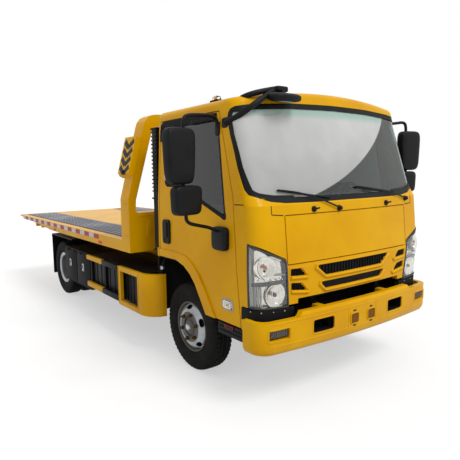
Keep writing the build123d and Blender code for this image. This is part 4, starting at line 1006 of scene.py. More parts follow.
# %% Inner mirror and look-down mirror
mesh = bmesh.new()
pillar, _ = on_side(side_skin["right"], 580, 2090, -1)
bend = (at(690, -935, 2128), at(752, -860, 2195), at(765, -770, 2254), at(720, -602, 2334))
add_tube(mesh, (pillar, *bend), 22)
add_tube(mesh, (at(612, -866, 2252), at(664, -862, 2272), at(720, -790, 2300), at(720, -620, 2336)), 21)
add_pillow(mesh, (575, -948, 2092), (40, 24, 40), 0.5)
add_pillow(mesh, (606, -866, 2250), (42, 34, 20), 0.5)
add_pillow(mesh, (716, -560, 2338), (50, 62, 22), 0.4)
add_tube(mesh, (at(722, -560, 2340), at(765, -570, 2320), at(795, -580, 2285)), 13)
add_pillow(mesh, (798, -585, 2268), (80, 142, 33), 0.66, 0, Matrix.Rotation(math.radians(8), 3, "Y"))
add_pillow(mesh, (796, -585, 2241), (48, 84, 9), 0.7, 1, Matrix.Rotation(math.radians(8), 3, "Y"))
piece("lookdown_mirror_dome", mesh, (black_abs, chrome_plate), "cab", ("lookdown_mirror",))
mesh = bmesh.new()
add_pillow(mesh, (520, -40, 2060), (14, 118, 34), 0.5)
add_pillow(mesh, (506, -40, 2060), (4, 108, 27), 0.5, 1)
add_tube(mesh, (at(528, -40, 2075), at(560, -40, 2130), at(580, -40, 2180)), 9)
for y in (-430, 430):
    add_pillow(mesh, (470, y, 2185), (70, 230, 12), 0.5)
piece("inner_mirror_and_visors", mesh, (dash_abs, chrome_plate), "cab")
print("mirrors made")

# %% [markdown]
# ## Bumper
# The bumper is a pressed steel skin. Each opening has a folded lip. Black cups close the tow holes and
# sockets,
# and black liners line their walls: both are painted shade.
# A raised plate in the middle carries two square sockets with short slots above and below. Over each socket
# lies a flat brown plate, painted shade for its recess.
# Fog lamps are smoky lenses, each in a frame of body paint.

# %% Bumper
FOLD = ((-6, -20), (-6, 1), (-2, 3.5), (3, 3.5), (6, 1), (6, -20))
TOW_HOLE = ((335, 544), (551, 544), (551, 642), (335, 642))
SOCKET = ((77, 551), (127, 551), (127, 601), (77, 601))
SOCKET_RIM = ((58, 541), (146, 541), (146, 619), (58, 619))
SOCKET_FOLD = ((-5, -3), (-5, 5), (-2, 8), (2, 8), (5, 5), (5, -3))
# The liner below is a black lining inside each hole's rim: painted shade on the hole's walls.
PAINTED_SHADE_LINER = ((-2, -44), (-2, -6), (2, -6), (2, -44))
FOG_LAMP = ((766, 541), (964, 541), (964, 639), (766, 639))


# Painted shade: a dark brown stands for the shaded yellow paint inside the socket recesses.
painted_shade_brown = bake_enamel("painted_shade_brown", ("5C3A08", "7E5210"), "3A2C14", (0.5, 0.7), 0.1, 0.0)


def on_bumper(y, z):
    return on_front(bumper_skin, y, z)


def outline_on(probe, outline, gap, grow):
    path = inset_outline(along_outline(outline, gap, 16.0), -grow)
    return [station for station in (probe(y, z) for y, z in path) if station]


mesh = bmesh.new()
for _, side in SIDES:
    for hole in (TOW_HOLE, SOCKET):
        add_ribbon(mesh, outline_on(on_bumper, mirrored_slot(hole, side), 18, 6), FOLD, True)
    add_ribbon(mesh, outline_on(on_bumper, mirrored_slot(SOCKET_RIM, side), 10, 3), SOCKET_FOLD, True)
    ridge = [on_bumper(side * 172, z) for _, z in along_line((0, 520), (0, 690), 10)]
    add_ribbon(mesh, ridge, ((-7, -2), (-7, 1), (0, 4), (7, 1), (7, -2)))
for z in (512, 674):
    chin = [on_bumper(y, z) for y, _ in along_line((-930, 0), (930, 0), 60)]
    add_ribbon(mesh, chin, ((-6, -2), (-6, 1), (0, 4), (6, 1), (6, -2)))
piece("bumper_lips", mesh, yellow_enamel, "chassis")
mesh = bmesh.new()
for _, side in SIDES:
    # Black cups behind the tow holes and sockets are painted shade inside them.
    for hole, deep in ((TOW_HOLE, 70), (SOCKET, 60)):
        ys = sorted(side * y for y, _ in hole)
        middle, _ = on_bumper(side * (max(abs(y) for y, _ in hole) + 12), hole[0][1] + 20)
        x = in_mm(middle)[0]
        low, high = hole[0][1] - 8, hole[2][1] + 8
        add_block(mesh, (x - 48 - deep, ys[0] - 8, low), (x - 46 - deep + 12, ys[-1] + 8, high), 3)
        for z in (low, high - 8):
            add_block(mesh, (x - 40 - deep, ys[0] - 8, z), (x - 46, ys[-1] + 8, z + 8), 2)
        for y in (ys[0] - 8, ys[-1]):
            add_block(mesh, (x - 40 - deep, y, low + 8), (x - 46, y + 8, high - 8), 2)
        rim = outline_on(on_bumper, mirrored_slot(hole, side), 18, 4)
        heart = sum((point for point, _ in rim), Vector()) / len(rim)
        drawn_in = [
            (p + Vector((0, math.copysign(0.005, heart.y - p.y), math.copysign(0.005, heart.z - p.z))), n)
            for p, n in rim
        ]
        add_ribbon(mesh, drawn_in, PAINTED_SHADE_LINER, True)
    for z in (640, 520):
        point, _ = on_bumper(side * 102, z)
        add_pillow(mesh, in_mm(point), (2.5, 17, 6), 0.4)
    # A flat brown plate over each socket, painted dark as the shade in a recess.
    point, _ = on_bumper(side * 62, 580)
    add_pillow(mesh, (in_mm(point)[0], side * 102, 580), (6, 45, 39), 0.15, 1)
piece("tow_cups_and_slots", mesh, (black_abs, painted_shade_brown), "chassis")
mesh = bmesh.new()
for _, side in SIDES:
    lamp = mirrored_slot(FOG_LAMP, side)
    frame_run = outline_on(on_bumper, lamp, 18, -5)
    add_ribbon(mesh, frame_run, ((-8, -40), (-8, -3), (-4, 3), (4, 3), (8, -3), (8, -40)), True, 3)
    for low, high, deep, paint in ((548, 632, 44, 0), (566, 628, 34, 1), (570, 626, 12, 2)):
        rows = []
        for j in range(5):
            z = low + (high - low) * j / 4
            stations = [on_bumper(side * (776 + 178 * i / 16), z) for i in range(17)]
            outer = [p - n * (deep * MM) for p, n in stations]
            inner = [p - n * ((deep + 3) * MM) for p, n in stations]
            rows.append(outer + inner[::-1])
        stitch(mesh, rows, True, False, paint)
    rail = [on_bumper(side * (790 + 150 * i / 12), 600) for i in range(13)]
    add_ribbon(mesh, rail, ((-8, -33), (-6, -20), (0, -16), (6, -20), (8, -33)), False, 1)
    for k in range(9):
        rib = [on_bumper(side * (790 + 19 * k), 572 + 8 * j) for j in range(7)]
        add_ribbon(mesh, rib, ((-5, -14), (-3, -11), (0, -9), (3, -11), (5, -14)), False, 2)
fog_finishes = (black_abs, lamp_grey, fog_lens, yellow_enamel)
piece("fog_lamp_units", mesh, fog_finishes, "chassis", ("fog_lamps",))
print("bumper dressed")

# %% [markdown]
# ## Wheel arches, steps and cab trim
# A strip of rubber lines each front arch and keeps spray off the door. The step below the door is ribbed
# plastic with an orange reflector. The air duct behind the cab has louvres in its upper half.
# Roof lamps are small clear domes on rubber feet.

# %% Wheel arches, steps and cab trim
ARCH = ((-440, 975), (-200, 975), (-80, 973), (38, 938), (121, 886), (190, 816), (244, 731))
ARCH += ((295, 648), (331, 590))
for name, side in SIDES:
    mesh = bmesh.new()
    path = ease([at(x, side * 975, z - 6) for x, z in ARCH], 2)
    stations = [(point, Vector((0, side, 0))) for point in path]
    add_ribbon(mesh, stations, ((-8, -38), (-8, 0), (-3, 5), (4, 5), (8, 0), (8, -38)))
    piece(f"arch_liner_{name}", mesh, seal_rubber, f"{name}_door")
    mesh = bmesh.new()
    for k in range(9):
        add_slab(mesh, (486 + 34 * k, 506 + 34 * k), (side * 877, 88), (572, 578), 2)
    for z in (500, 530):
        add_slab(mesh, (482, 778), (side * 978, 4), (z, z + 12), 3)
    add_slab(mesh, (560, 660), (side * 979, 4), (542, 566), 3, 1)
    piece(f"step_ribs_{name}", mesh, (black_abs, orange_prisms), "cab")
mesh = bmesh.new()
for k in range(16):
    z = 1560 + 36 * k
    add_block(mesh, (-548, -966, z), (-467, -958, z + 14), 2)
for z in (1010, 1500, 2140):
    add_block(mesh, (-560, -966, z - 8), (-461, -815, z + 8), 4)
piece("air_duct_louvres", mesh, black_abs, "cab")
mesh = bmesh.new()
for _, side in SIDES:
    add_pillow(mesh, (300, side * 832, 2290), (58, 34, 10), 0.4, 0)
    add_pillow(mesh, (300, side * 832, 2306), (46, 25, 26), 0.8, 1)
    add_pillow(mesh, (300, side * 832, 2302), (14, 10, 14), 0.8, 2)
finishes = (seal_rubber, lens_plastic, amber_acrylic)
piece("roof_lamp_domes", mesh, finishes, "cab", ("roof_lamps",))
mesh = bmesh.new()
for k in range(44):
    add_block(mesh, (846, -560 + 26 * k, 640), (852, -556 + 26 * k, 812), 1)
for z in (640, 700, 760, 806):
    add_block(mesh, (842, -580, z), (858, 580, z + 8), 2)
for z in (742, 778):
    add_block(mesh, (868, -610, z), (884, 610, z + 14), 5)
for _, side in SIDES:
    add_slab(mesh, (792, 802), (side * 727, 150), (540, 722), 4)
    for k in range(5):
        add_block(mesh, (800, side * 727 - 141 + 62 * k, 560), (807, side * 727 - 107 + 62 * k, 706), 3)
piece("radiator_core", mesh, chassis_black, "chassis")
print("arches, steps and cab trim made")

# %% [markdown]
# ## Cab interior
# Seats are foam cushions under woven covers. Each pad starts flat and is blown up inside its cover as cloth,
# which crowns its middle and draws its sides in. The channels that tie the cover down are pressed in after.
# The steering wheel is a padded rim on spokes, and the dash has a hood over its dials and a row of vents.

# %% Cab interior
SEAT_Y = 470
WHEEL_CENTRE = at(420, SEAT_Y, 1458)


def tie_down(direction, spacing):
    """Press channels into a cushion across one direction."""
    def press(local):
        groove = max(0.0, math.cos(2 * math.pi * local[direction] / spacing)) ** 8
        return Vector((
            local.x - (9 * groove if direction == 2 and local.x > 0 else 0), local.y,
            local.z - (9 * groove if direction == 1 and local.z > 0 else 0),
        ))
    return press


PAD_VOXEL, PAD_PRESSURE, PAD_FRAMES, PAD_CAP = 10, 4.0, 20, 24
LEAN = Matrix.Rotation(math.radians(-9), 3, "Y")
PADS = (
    ((-55, 1235), (262, 268, 52), 0.42, Matrix.Identity(3), tie_down(1, 150)),
    ((-318, 1545), (48, 254, 330), 0.4, LEAN, tie_down(2, 170)),
    ((-368, 1905), (32, 140, 80), 0.5, LEAN, None),
)


def swell(half, square):
    """A pad blown up inside its cover: points in millimetres round its own middle, and faces."""
    start = bmesh.new()
    add_pillow(start, (0, 0, 0), half, square, 0, None, None, 48, 28)
    bmesh.ops.recalc_face_normals(start, faces=start.faces)
    data = bpy.data.meshes.new("pad")
    start.to_mesh(data)
    start.free()
    pad = bpy.data.objects.new("pad", data)
    scene.collection.objects.link(pad)
    grid = pad.modifiers.new("even_grid", "REMESH")
    grid.mode = "VOXEL"
    grid.voxel_size = PAD_VOXEL * MM
    pad.data = bpy.data.meshes.new_from_object(pad.evaluated_get(bpy.context.evaluated_depsgraph_get()))
    pad.modifiers.clear()
    before = [vertex.co.copy() for vertex in pad.data.vertices]
    cover = pad.modifiers.new("cover", "CLOTH")
    cover.settings.quality = 4
    cover.settings.use_pressure = True
    cover.settings.uniform_pressure_force = PAD_PRESSURE
    cover.settings.effector_weights.gravity = 0
    cover.collision_settings.use_collision = False
    cover.point_cache.frame_start = 1
    cover.point_cache.frame_end = PAD_FRAMES
    for frame_number in range(1, PAD_FRAMES + 1):
        scene.frame_set(frame_number)
    blown = pad.evaluated_get(bpy.context.evaluated_depsgraph_get()).to_mesh()
    points = []
    for vertex, rest in zip(blown.vertices, before):
        step = vertex.co - rest
        step *= min(1.0, PAD_CAP * MM / max(step.length, 1e-9))
        points.append((rest + step - at(0, 0, 0)) / MM)
    faces = [tuple(face.vertices) for face in blown.polygons]
    scene.frame_set(1)
    bpy.data.objects.remove(pad)
    return points, faces


seat_meshes = {name: bmesh.new() for name, _ in SIDES}
for (x, z), half, square, turn, press in PADS:
    points, faces = swell(half, square)
    pressed = [turn @ (press(p) if press else p) for p in points]
    for name, side in SIDES:
        corners = [seat_meshes[name].verts.new(at(x, side * SEAT_Y, z) + p * MM) for p in pressed]
        for face in faces:
            seat_meshes[name].faces.new([corners[k] for k in face])
for name, side in SIDES:
    hides = ("seats",) if side > 0 else ()
    seat = piece(f"seat_pads_{name}", seat_meshes[name], seat_cloth, "cab", hides, 180)
    seat.modifiers.new("smooth_cover", "SUBSURF").levels = 1
mesh = bmesh.new()
for _, side in SIDES:
    y = side * SEAT_Y
    add_slab(mesh, (-300, 170), (y, 235), (1008, 1168), 22)
    for k in (-1, 1):
        add_tube(mesh, (at(-372, y + 60 * k, 1800), at(-376, y + 60 * k, 1890)), 7, 10, 1)
piece("seat_bases", mesh, (dash_abs, turned_steel), "cab")
WHEEL_AXIS = Vector((-155, 0, 145)).normalized()
mesh = bmesh.new()
rim_across = Vector((0, 1, 0))
rim_up = WHEEL_AXIS.cross(rim_across)
rim_path = []
for k in range(48):
    angle = 2 * math.pi * k / 48
    out = rim_across * math.cos(angle) + rim_up * math.sin(angle)
    rim_path.append((WHEEL_CENTRE + out * 0.204, out))
grip = [(15 * math.cos(2 * math.pi * k / 12), 15 * math.sin(2 * math.pi * k / 12)) for k in range(12)]
add_ribbon(mesh, rim_path, grip, True)
add_lathe(mesh, ((-40, 48), (-4, 62), (10, 60), (18, 46), (22, 0), (-40, 0)), WHEEL_CENTRE, WHEEL_AXIS, 32)
for turn_by in (-20, 200, 90):
    angle = math.radians(turn_by)
    out = rim_across * math.cos(angle) - rim_up * math.sin(angle)
    spoke = [(WHEEL_CENTRE + out * reach, WHEEL_AXIS) for reach in (0.05, 0.1, 0.15, 0.195)]
    add_ribbon(mesh, spoke, ((-17, -9), (-17, 3), (-8, 8), (8, 8), (17, 3), (17, -9)))
piece("steering_wheel_grip", mesh, black_abs, "steering_wheel", ("steering_wheel",))
mesh = bmesh.new()
add_pillow(mesh, (700, SEAT_Y, 1440), (140, 250, 62), 0.5)
add_pillow(mesh, (580, SEAT_Y, 1440), (16, 205, 44), 0.5, 1)
add_pillow(mesh, (590, 0, 1330), (40, 190, 130), 0.4)
for y in (-780, -500, -230, 170, 800):
    add_slab(mesh, (548, 562), (y, 62), (1340, 1400), 6, 1)
    for z in (1350, 1366, 1382):
        add_slab(mesh, (540, 552), (y, 54), (z, z + 6), 2)
add_block(mesh, (540, -820, 1170), (562, -330, 1300), 12)
add_block(mesh, (530, -610, 1280), (546, -540, 1292), 4, 1)
add_tube(mesh, (at(470, 90, 1160), at(430, 85, 1250), at(415, 80, 1310)), 9, 12, 1)
add_pillow(mesh, (413, 79, 1325), (22, 22, 28), 0.8, 1)
piece("dash_hood_and_vents", mesh, (dash_abs, black_abs), "cab")
print("cab interior made")

# %% [markdown]
# ## Deck
# The two grey strips are chequer plate: lugs rolled into the sheet in crossing pairs, so tyres and boots
# grip when wet. Real lugs stand about 2 mm high and 25 mm long. These are about twice that, to show.
# The yellow middle is plain sheet, and tape in red and white runs along both rails.

# %% Deck
LUG_GAP, LUG_LONG, LUG_WIDE, LUG_HIGH = 62, 54, 17, 4.5
LUG_ROWS, LUG_COLUMNS = 7, 62
FIRST_LUG = (-4790, 597)
DECK_TOP = 1082
mesh = bmesh.new()
for _, side in SIDES:
    for i in range(LUG_ROWS):
        for j in range(LUG_COLUMNS):
            x, y = FIRST_LUG[0] + LUG_GAP * j, side * (FIRST_LUG[1] + LUG_GAP * i)
            slant = math.radians(45 if (i + j) % 2 else -45)
            along = Vector((math.cos(slant), math.sin(slant), 0))
            across = Vector((-math.sin(slant), math.cos(slant), 0))
            foot = at(x, y, DECK_TOP - 0.5)
            ends = [foot + along * (LUG_LONG * MM / 2 * k) for k in (-1, 1)]
            walls = [foot + across * (LUG_WIDE * MM / 2 * k) for k in (-1, 1)]
            crest = [foot + along * (LUG_LONG * MM / 4 * k) + Vector((0, 0, LUG_HIGH * MM)) for k in (-1, 1)]
            a, b, c, d, e, f = [mesh.verts.new(p) for p in (ends[0], walls[0], ends[1], walls[1], *crest)]
            for corners in ((a, b, e), (a, e, d), (b, c, f), (c, d, f), (b, f, e), (d, e, f)):
                mesh.faces.new(corners)
            mesh.faces.new((a, d, c, b))
piece("chequer_lugs", mesh, lighter_lug_paint, "bed", (), 20)
TAPE_SECTION = ((-25, -0.5), (-25, 1.2), (25, 1.2), (25, -0.5))
tapes = {0: bmesh.new(), 1: bmesh.new()}
for _, side in SIDES:
    for k in range(22):
        x = -1530 - 145 * k
        stations = [(at(x - run, side * 1118, 1047), Vector((0, side, 0))) for run in (0, 48, 96, 140)]
        add_ribbon(tapes[k % 2], stations, TAPE_SECTION)
piece("red_rail_tape", tapes[0], red_tape, "bed")
piece("white_rail_tape", tapes[1], white_tape, "bed")
mesh = bmesh.new()
for _, side in SIDES:
    for x in (-1500, -3080):
        add_slab(mesh, (x - 45, x + 45), (side * 1121, 4), (975, 1003), 3)
piece("rail_reflectors", mesh, orange_prisms, "bed")
mesh = bmesh.new()
for y in (-545, 545):
    add_slab(mesh, (-4810, -960), (y, 8), (1077, 1081), 2)
add_tube(mesh, (at(-4902, -1100, 1073), at(-4902, 1100, 1073)), 8)
piece("deck_seams", mesh, yellow_enamel, "bed")
print("deck dressed")

# %% [markdown]
# ## Headboard
# Boxes on the leaning posts warn other traffic with black vinyl chevrons and red lamps on their rear edge.
# The bulkhead has pressed ribs that keep its sheet from drumming.

# %% Headboard
chevron_skin = skin_of(("chevron_boxes",))
VINYL = ((-26, -0.5), (-26, 1.2), (26, 1.2), (26, -0.5))
mesh = bmesh.new()
for _, side in SIDES:
    for k in range(4):
        foot_z = 1736 + 83 * k
        for reach in (-1, 1):
            arm = []
            for step in range(6):
                x, z = -865 + reach * 19 * step, foot_z + 13.5 * step
                arm.append(strike(chevron_skin, at(x, side * 1300, z), Vector((0, -side, 0))))
            add_ribbon(mesh, [station for station in arm if station], VINYL)
piece("chevron_vinyl", mesh, vinyl_black, "bed", (), 30)
mesh = bmesh.new()
for _, side in SIDES:
    for k in range(3):
        z = 1750 + 120 * k
        y = side * (1118 - 193 * (z - 1487) / 703 + 26)
        add_pillow(mesh, (-988, y, z), (9, 22, 46), 0.5)
piece("chevron_box_lamps", mesh, red_acrylic, "bed")
mesh = bmesh.new()
for y in range(-900, 901, 300):
    add_slab(mesh, (-760, -751), (y, 30), (1120, 1300), 5)
add_block(mesh, (-760, -1000, 1318), (-750, 1000, 1340), 5)
for _, side in SIDES:
    for z in (1120, 1440):
        add_slab(mesh, (-900, -790), (side * 1119, 4), (z, z + 10), 2)
piece("bulkhead_ribs", mesh, yellow_enamel, "bed")
print("headboard dressed")

# %% [markdown]
# ## Winch
# The winch pulls cars up the deck. Its drum carries the rope in a neat layer, a hydraulic motor drives it
# from one side and a finned gear case stands at the other.
# The rope stays wound, so each turn is a ring on the drum.

# %% Winch
WINCH_X, WINCH_Z = -1087, 1208
mesh = bmesh.new()
middle = at(WINCH_X, 0, WINCH_Z)
turns = []
for k in range(24):
    y = -140 + 11.7 * k
    turns += [(y, 60), (y + 2.5, 68), (y + 6, 71), (y + 9.5, 68)]
turns += [(141, 60), (141, 30), (-140, 30)]
add_lathe(mesh, turns, middle, (0, 1, 0), 40, 1)
for y in (-150, 143):
    flange = ((y, 40), (y, 104), (y + 3, 108), (y + 7, 108), (y + 8, 104), (y + 8, 40))
    add_lathe(mesh, flange, middle, (0, 1, 0), 40)
gear = [(172, 30), (172, 74)]
for k in range(8):
    gear += [(184 + 17 * k, 74), (184 + 17 * k, 84), (191 + 17 * k, 84), (191 + 17 * k, 74)]
gear += [(322, 74), (328, 60), (330, 30)]
add_lathe(mesh, gear, middle, (0, 1, 0), 40, 2)
motor = ((-172, 30), (-172, 85), (-196, 88), (-200, 62), (-300, 60), (-312, 50), (-318, 30))
add_lathe(mesh, motor, middle, (0, 1, 0), 40, 2)
for k in range(6):
    angle = math.pi * k / 3
    spot = middle + Vector((math.cos(angle) * 0.074, -0.198, math.sin(angle) * 0.074))
    add_lathe(mesh, ((0, 9), (-12, 9), (-14, 6), (-14, 0), (0, 0)), spot, (0, 1, 0), 6)
for y in (-170, 150):
    add_block(mesh, (WINCH_X - 92, y, 1078), (WINCH_X + 92, y + 20, 1296), 12, 3)
add_block(mesh, (WINCH_X - 110, -328, 1078), (WINCH_X + 110, 328, 1094), 5, 3)
add_tube(mesh, (at(WINCH_X - 70, -175, 1285), at(WINCH_X - 70, 175, 1285)), 14, 14, 3)
finishes = (turned_steel, wire_rope, rolled_aluminium, chassis_black)
piece("winch_drum_and_motor", mesh, finishes, "bed", ("winch",))
print("winch made")

# %% [markdown]
# ## Along the chassis
# Side guards are folded steel rails, part yellow and part in black plastic sleeves. Black sheets behind the
# rails and under the bed edge are painted shade for the dark space under the deck. Each locker has two
# doors with a steel latch each. The tank hangs in two straps, and the mudguards end in rubber flaps.

# %% Along the chassis
for name, side in SIDES:
    mesh = bmesh.new()
    for low, high in ((738, 787), (414, 469)):
        add_slab(mesh, (-1500, -1078), (side * 1096, 20), (low - 3, high + 3), 8)
        for k in range(2):
            z = low + 12 + 20 * k
            add_slab(mesh, (-1492, -1086), (side * 1117, 2), (z, z + 6), 1.5)
    # Painted shade: black sheets behind the rails stand in for the dark under the deck.
    add_slab(mesh, (-1945, -1076), (side * 1050, 4), (420, 782), 3)
    add_slab(mesh, (-1090, -560), (side * 1040, 4), (398, 782), 3)
    for k in range(7):
        add_slab(mesh, (-1900 + 120 * k, -1880 + 120 * k), (side * 1056, 4), (440, 730), 3)
    for k in range(6):
        add_slab(mesh, (-1010 + 70 * k, -985 + 70 * k), (side * 1046, 4), (430, 750), 3)
    # Two more black sheets under the bed edge, also painted shade.
    add_slab(mesh, (-1945, -560), (side * 775, 285), (776, 786), 4)
    add_slab(mesh, (-2858, -1950), (side * 775, 285), (773, 781), 4)
    piece(f"guard_sleeves_and_shade_sheets_{name}", mesh, black_abs, "chassis")
    mesh = bmesh.new()
    for low, high in ((738, 787), (414, 469)):
        add_slab(mesh, (-1940, -1506), (side * 1114, 3), (low + 18, high - 18), 3)
    for x, wide in ((-1068, 6), (-628, 6)):
        add_slab(mesh, (x, x + wide), (side * 1114, 3), (400, 776), 2)
    piece(f"guard_folds_{name}", mesh, yellow_enamel, "chassis")
    mesh = bmesh.new()
    add_slab(mesh, (-2848, -2414), (side * 1060, 8), (362, 756), 14)
    add_slab(mesh, (-2400, -1967), (side * 1060, 8), (362, 756), 14)
    for x in (-2631, -2184):
        add_slab(mesh, (x - 150, x - 60), (side * 1070, 4), (742, 762), 4)
        add_slab(mesh, (x + 60, x + 150), (side * 1070, 4), (742, 762), 4)
        add_pillow(mesh, (x, side * 1070, 590), (28, 6, 48), 0.35, 1)
        add_pillow(mesh, (x, side * 1075, 600), (9, 4, 24), 0.5, 0)
        add_lathe(mesh, stud(9, 11, 2), at(x, side * 1074, 552), (0, side, 0), 16, 1)
    piece(f"locker_doors_{name}", mesh, (chassis_black, turned_steel), "chassis")
    mesh = bmesh.new()
    for z in (250, 300, 350):
        add_slab(mesh, (-3806, -3799), (side * 720, 200), (z, z + 10), 3)
    add_slab(mesh, (-3808, -3798), (side * 720, 222), (800, 836), 4)
    for k in range(5):
        add_lathe(mesh, stud(9, 8, 3), at(-3808, side * 720 - 180 + 90 * k, 818), (-1, 0, 0), 6)
    piece(f"mud_flap_ribs_{name}", mesh, seal_rubber, "chassis")
    mesh = bmesh.new()
    lamp_parts = ((590, 668, 0), (670, 735, 1), (737, 810, 2))
    for inner, outer, paint in lamp_parts:
        middle_y, half_y = side * (inner + outer) / 2, (outer - inner) / 2 - 2
        add_pillow(mesh, (-4112, middle_y, 630), (9, half_y, 42), 0.3, paint)
        for k in range(4):
            z = 602 + 18 * k
            add_slab(mesh, (-4123, -4118), (middle_y, half_y - 6), (z, z + 4), 1.5, paint)
    finishes = (red_acrylic, amber_acrylic, lens_plastic)
    piece(f"tail_lamp_lenses_{name}", mesh, finishes, "chassis")
mesh = bmesh.new()
for k in range(14):
    y = -805 + 115 * k
    stations = [(at(-4070, y + run, 535), Vector((-1, 0, 0))) for run in (0, 56, 112)]
    add_ribbon(mesh, stations, ((-40, -0.5), (-40, 1.2), (40, 1.2), (40, -0.5)), False, k % 2)
piece("rear_bumper_tape", mesh, (red_tape, white_tape), "chassis")
STRAP = ((422, 640), (440, 674), (790, 674), (804, 640), (804, 440), (780, 416))
mesh = bmesh.new()
for x in (-1750, -1300):
    strap = [at(x, y, z) for y, z in STRAP]
    outward = [Vector((0, point.y - 0.61, point.z - 0.545)).normalized() for point in ease(strap, 2)]
    add_ribbon(mesh, list(zip(ease(strap, 2), outward)), ((-20, -1), (-20, 3), (20, 3), (20, -1)))
add_lathe(mesh, ((0, 44), (16, 44), (22, 38), (24, 0), (0, 0)), at(-1820, 700, 668), (0, 0, 1), 28)
for x in (-1760, -1640, -1460, -1340):
    add_lathe(mesh, stud(14, 12, 4), at(x, -620, 669), (0, 0, 1), 16)
piece("tank_straps_and_caps", mesh, turned_steel, "chassis")
print("chassis dressed")

# %% [markdown]
# ## Front wheels
# A steel truck wheel is a rolled rim with a pressed disc welded into it. The front disc bulges outwards.
# It has oval hand holes in its cone, and zinc-plated nuts stand on its flat middle round the hub.
# The disc is a turned sheet: faces inside each hole's oval are left out, and thickness is added after.

# %% Front wheels
nut_zinc = bare_metal("yellow_zinc_plate", ("4E3C20", "64502C"), 0.45, (1, 1, 1), 6, 0.2)
worn_silver = bake_enamel("dusty_wheel_paint", ("4C4A48", "64625F"), "4A443A", (0.4, 0.6), 0.3, 0.02)
RIM_RING = (
    (70, 219), (76, 222), (82, 221), (84, 216), (80, 211), (70, 207), (40, 203), (-60, 203), (-74, 214),
    (-66, 219), (-40, 208), (40, 208),
)
DISC = (
    (50, 203), (56, 198), (63, 193), (69, 188), (74, 183), (79, 178), (83, 173), (87, 168), (90, 163),
    (92, 158), (94, 152), (95, 145), (95, 134), (95, 120), (95, 104), (94, 92), (88, 86),
)
HUB = ((40, 84), (84, 84), (88, 78), (90, 66), (100, 60), (108, 52), (112, 36), (113, 0), (40, 0))
NUT = ((94, 19), (99, 19), (100, 17), (117, 17), (120, 13), (120, 9), (132, 8), (133, 0), (94, 0))
NUT_CIRCLE, NUT_COUNT = 111, 6
HOLE_RADIUS, HOLE_HALF, HOLE_COUNT, HOLE_START = 175, (38, 20), 5, 24
DISC_STEPS, DUSTY_RADIUS = 180, 136
WHEEL_Y, WHEEL_Z = 840, 387.5


def add_disc(mesh, centre, side):
    """The pressed disc, with oval hand holes cut through its cone."""
    rows = []
    for along, radius in DISC:
        row = []
        for step in range(DISC_STEPS):
            angle = 2 * math.pi * step / DISC_STEPS
            spread = 2 * math.pi / HOLE_COUNT
            off = (angle - math.radians(HOLE_START) + spread / 2) % spread - spread / 2
            across, inward = off * HOLE_RADIUS, radius - HOLE_RADIUS
            reach = math.hypot(across / HOLE_HALF[0], inward / HOLE_HALF[1])
            row.append((along, radius, angle, reach))
        rows.append(row)
    verts = {}
    for i, row in enumerate(rows):
        for j, (along, radius, angle, reach) in enumerate(row):
            point = Vector((math.cos(angle) * radius, side * along, math.sin(angle) * radius)) * MM
            verts[i, j] = (mesh.verts.new(centre + point), reach)
    for i in range(len(rows) - 1):
        for j in range(DISC_STEPS):
            k = (j + 1) % DISC_STEPS
            corners = (verts[i, j], verts[i, k], verts[i + 1, k], verts[i + 1, j])
            if sum(reach for _, reach in corners) / 4 < 1.0:
                continue
            face = mesh.faces.new([vertex for vertex, _ in corners])
            face.material_index = 1 if rows[i][j][1] < DUSTY_RADIUS else 0
    loose = [vertex for vertex, _ in verts.values() if not vertex.link_faces]
    bmesh.ops.delete(mesh, geom=loose, context="VERTS")


for name, side in SIDES:
    middle = at(0, side * WHEEL_Y, WHEEL_Z)
    wheel = f"front_{name}_wheel"
    mesh = bmesh.new()
    add_disc(mesh, middle, side)
    disc = piece(f"wheel_disc_{name}", mesh, (wheel_silver, worn_silver), wheel)
    give_wall(disc, 0.007, 0.0)
    mesh = bmesh.new()
    add_lathe(mesh, RIM_RING, middle, (0, side, 0), 72, 1)
    add_lathe(mesh, HUB, middle, (0, side, 0), 40, 1)
    add_lathe(mesh, ((112, 30), (124, 26), (128, 18), (129, 0), (112, 0)), middle, (0, side, 0), 24, 2)
    for k in range(NUT_COUNT):
        angle = 2 * math.pi * k / NUT_COUNT + 0.3
        spot = middle + Vector((math.cos(angle), 0, math.sin(angle))) * (NUT_CIRCLE * MM)
        add_lathe(mesh, NUT, spot, (0, side, 0), 6, 3)
    add_lathe(mesh, ((-40, 60), (30, 60), (30, 190), (20, 196), (-40, 196)), middle, (0, side, 0), 48, 4)
    finishes = (wheel_silver, worn_silver, rolled_aluminium, nut_zinc, cast_iron)
    stands_for = (f"front_rim_{name}",)
    piece(f"wheel_rim_and_nuts_{name}", mesh, finishes, wheel, stands_for, 35)
print("front wheels made with", NUT_COUNT, "nuts each")

# %% [markdown]
# ## Behind the front wheel
# An air line with a bright union runs down to the chassis behind the arch on the right.

# %% Air line
mesh = bmesh.new()
LINE = (at(-460, -930, 800), at(-430, -952, 846), at(-415, -945, 900), at(-420, -900, 960))
UNION = ((-16, 17), (-12, 21), (12, 21), (16, 17), (16, 0), (-16, 0))
add_tube(mesh, LINE, 13, 12, 0)
add_lathe(mesh, UNION, at(-428, -952, 852), (0.2, 0, 1), 6, 1)
add_pillow(mesh, (-452, -945, 818), (26, 16, 20), 0.5, 0)
piece("air_line", mesh, (seal_rubber, turned_steel), "chassis")
print("air line made")

# %% [markdown]
# ## Floor and light
# The truck stands on a plain white floor under an even white sky, as a catalogue picture would show it.
# One broad sun in front gives the forward panel its brighter face and a soft shadow below.
# The background stays white to the camera, and glass and metal see that same white.
# To other rays the floor is grey like a yard, so the underside stays dark.

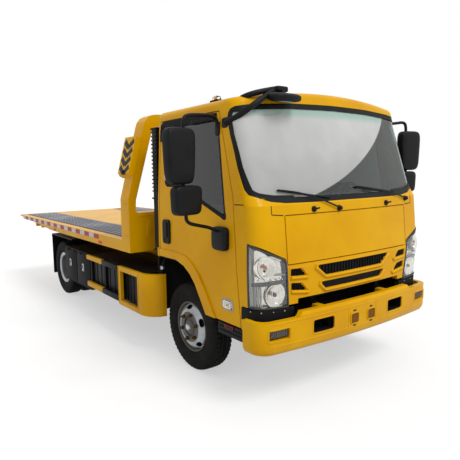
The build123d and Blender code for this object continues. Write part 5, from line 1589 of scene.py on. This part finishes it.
# %% Floor and light
FLOOR_REACH = 60
SKY_LIGHT = 0.8
SUN_LIGHT = 1.7
SHADOW_LIFT = 0.5
FLOOR_BOUNCE = "C2C0BB"
floor_mesh = bpy.data.meshes.new("studio_floor")
corners = [(x * FLOOR_REACH, y * FLOOR_REACH, 0) for x, y in ((-1, -1), (1, -1), (1, 1), (-1, 1))]
floor_mesh.from_pydata(corners, [], [(0, 1, 2, 3)])
floor = bpy.data.objects.new("studio_floor", floor_mesh)
scene.collection.objects.link(floor)


def seen_rays(tree):
    """1 for rays that come from the camera, or from it by way of a mirror-bright or clear surface."""
    ray = add_node(tree, "ShaderNodeLightPath", {})
    seen = ray.outputs["Is Camera Ray"]
    for kind in ("Is Glossy Ray", "Is Transmission Ray"):
        seen = combine(tree, "MAXIMUM", seen, ray.outputs[kind])
    return seen


floor_paint, tree, shader = start_material("white_floor_paint", Roughness=0.9)
paint = mottle(tree, shader, object_space(tree), ("F6F6F6", "FBFBFB"), 900)
seen = seen_rays(tree)
bounce = add_node(
    tree, "ShaderNodeMix", {"data_type": "RGBA", 6: hex_colour(FLOOR_BOUNCE)}, {0: seen, 7: paint}
)
tree.links.new(bounce.outputs[2], shader.inputs["Base Color"])
paper = add_node(tree, "ShaderNodeEmission", {"Color": (1, 1, 1, 1), "Strength": 1.0})
lift = rescale(tree, seen, high=SHADOW_LIFT)
blend = add_node(
    tree, "ShaderNodeMixShader", {}, {0: lift, 1: shader.outputs[0], 2: paper.outputs[0]}
)
tree.links.new(blend.outputs[0], tree.nodes["Material Output"].inputs["Surface"])
floor_mesh.materials.append(floor_paint)
world = bpy.data.worlds.new("studio_sky")
scene.world = world
world.use_nodes = True
sky = world.node_tree
level = rescale(sky, seen_rays(sky), low=SKY_LIGHT)
sky.links.new(level, sky.nodes["Background"].inputs["Strength"])
sky.nodes["Background"].inputs["Color"].default_value = (1, 1, 1, 1)
sun = bpy.data.lights.new("studio_sun", "SUN")
sun.energy = SUN_LIGHT
sun.angle = math.radians(25)
sun_stand = bpy.data.objects.new("studio_sun", sun)
scene.collection.objects.link(sun_stand)
sun_stand.rotation_euler = Vector((0.62, 0.10, 0.78)).to_track_quat("Z", "Y").to_euler()
scene.view_settings.view_transform = "Standard"
print("floor, sky and sun ready")
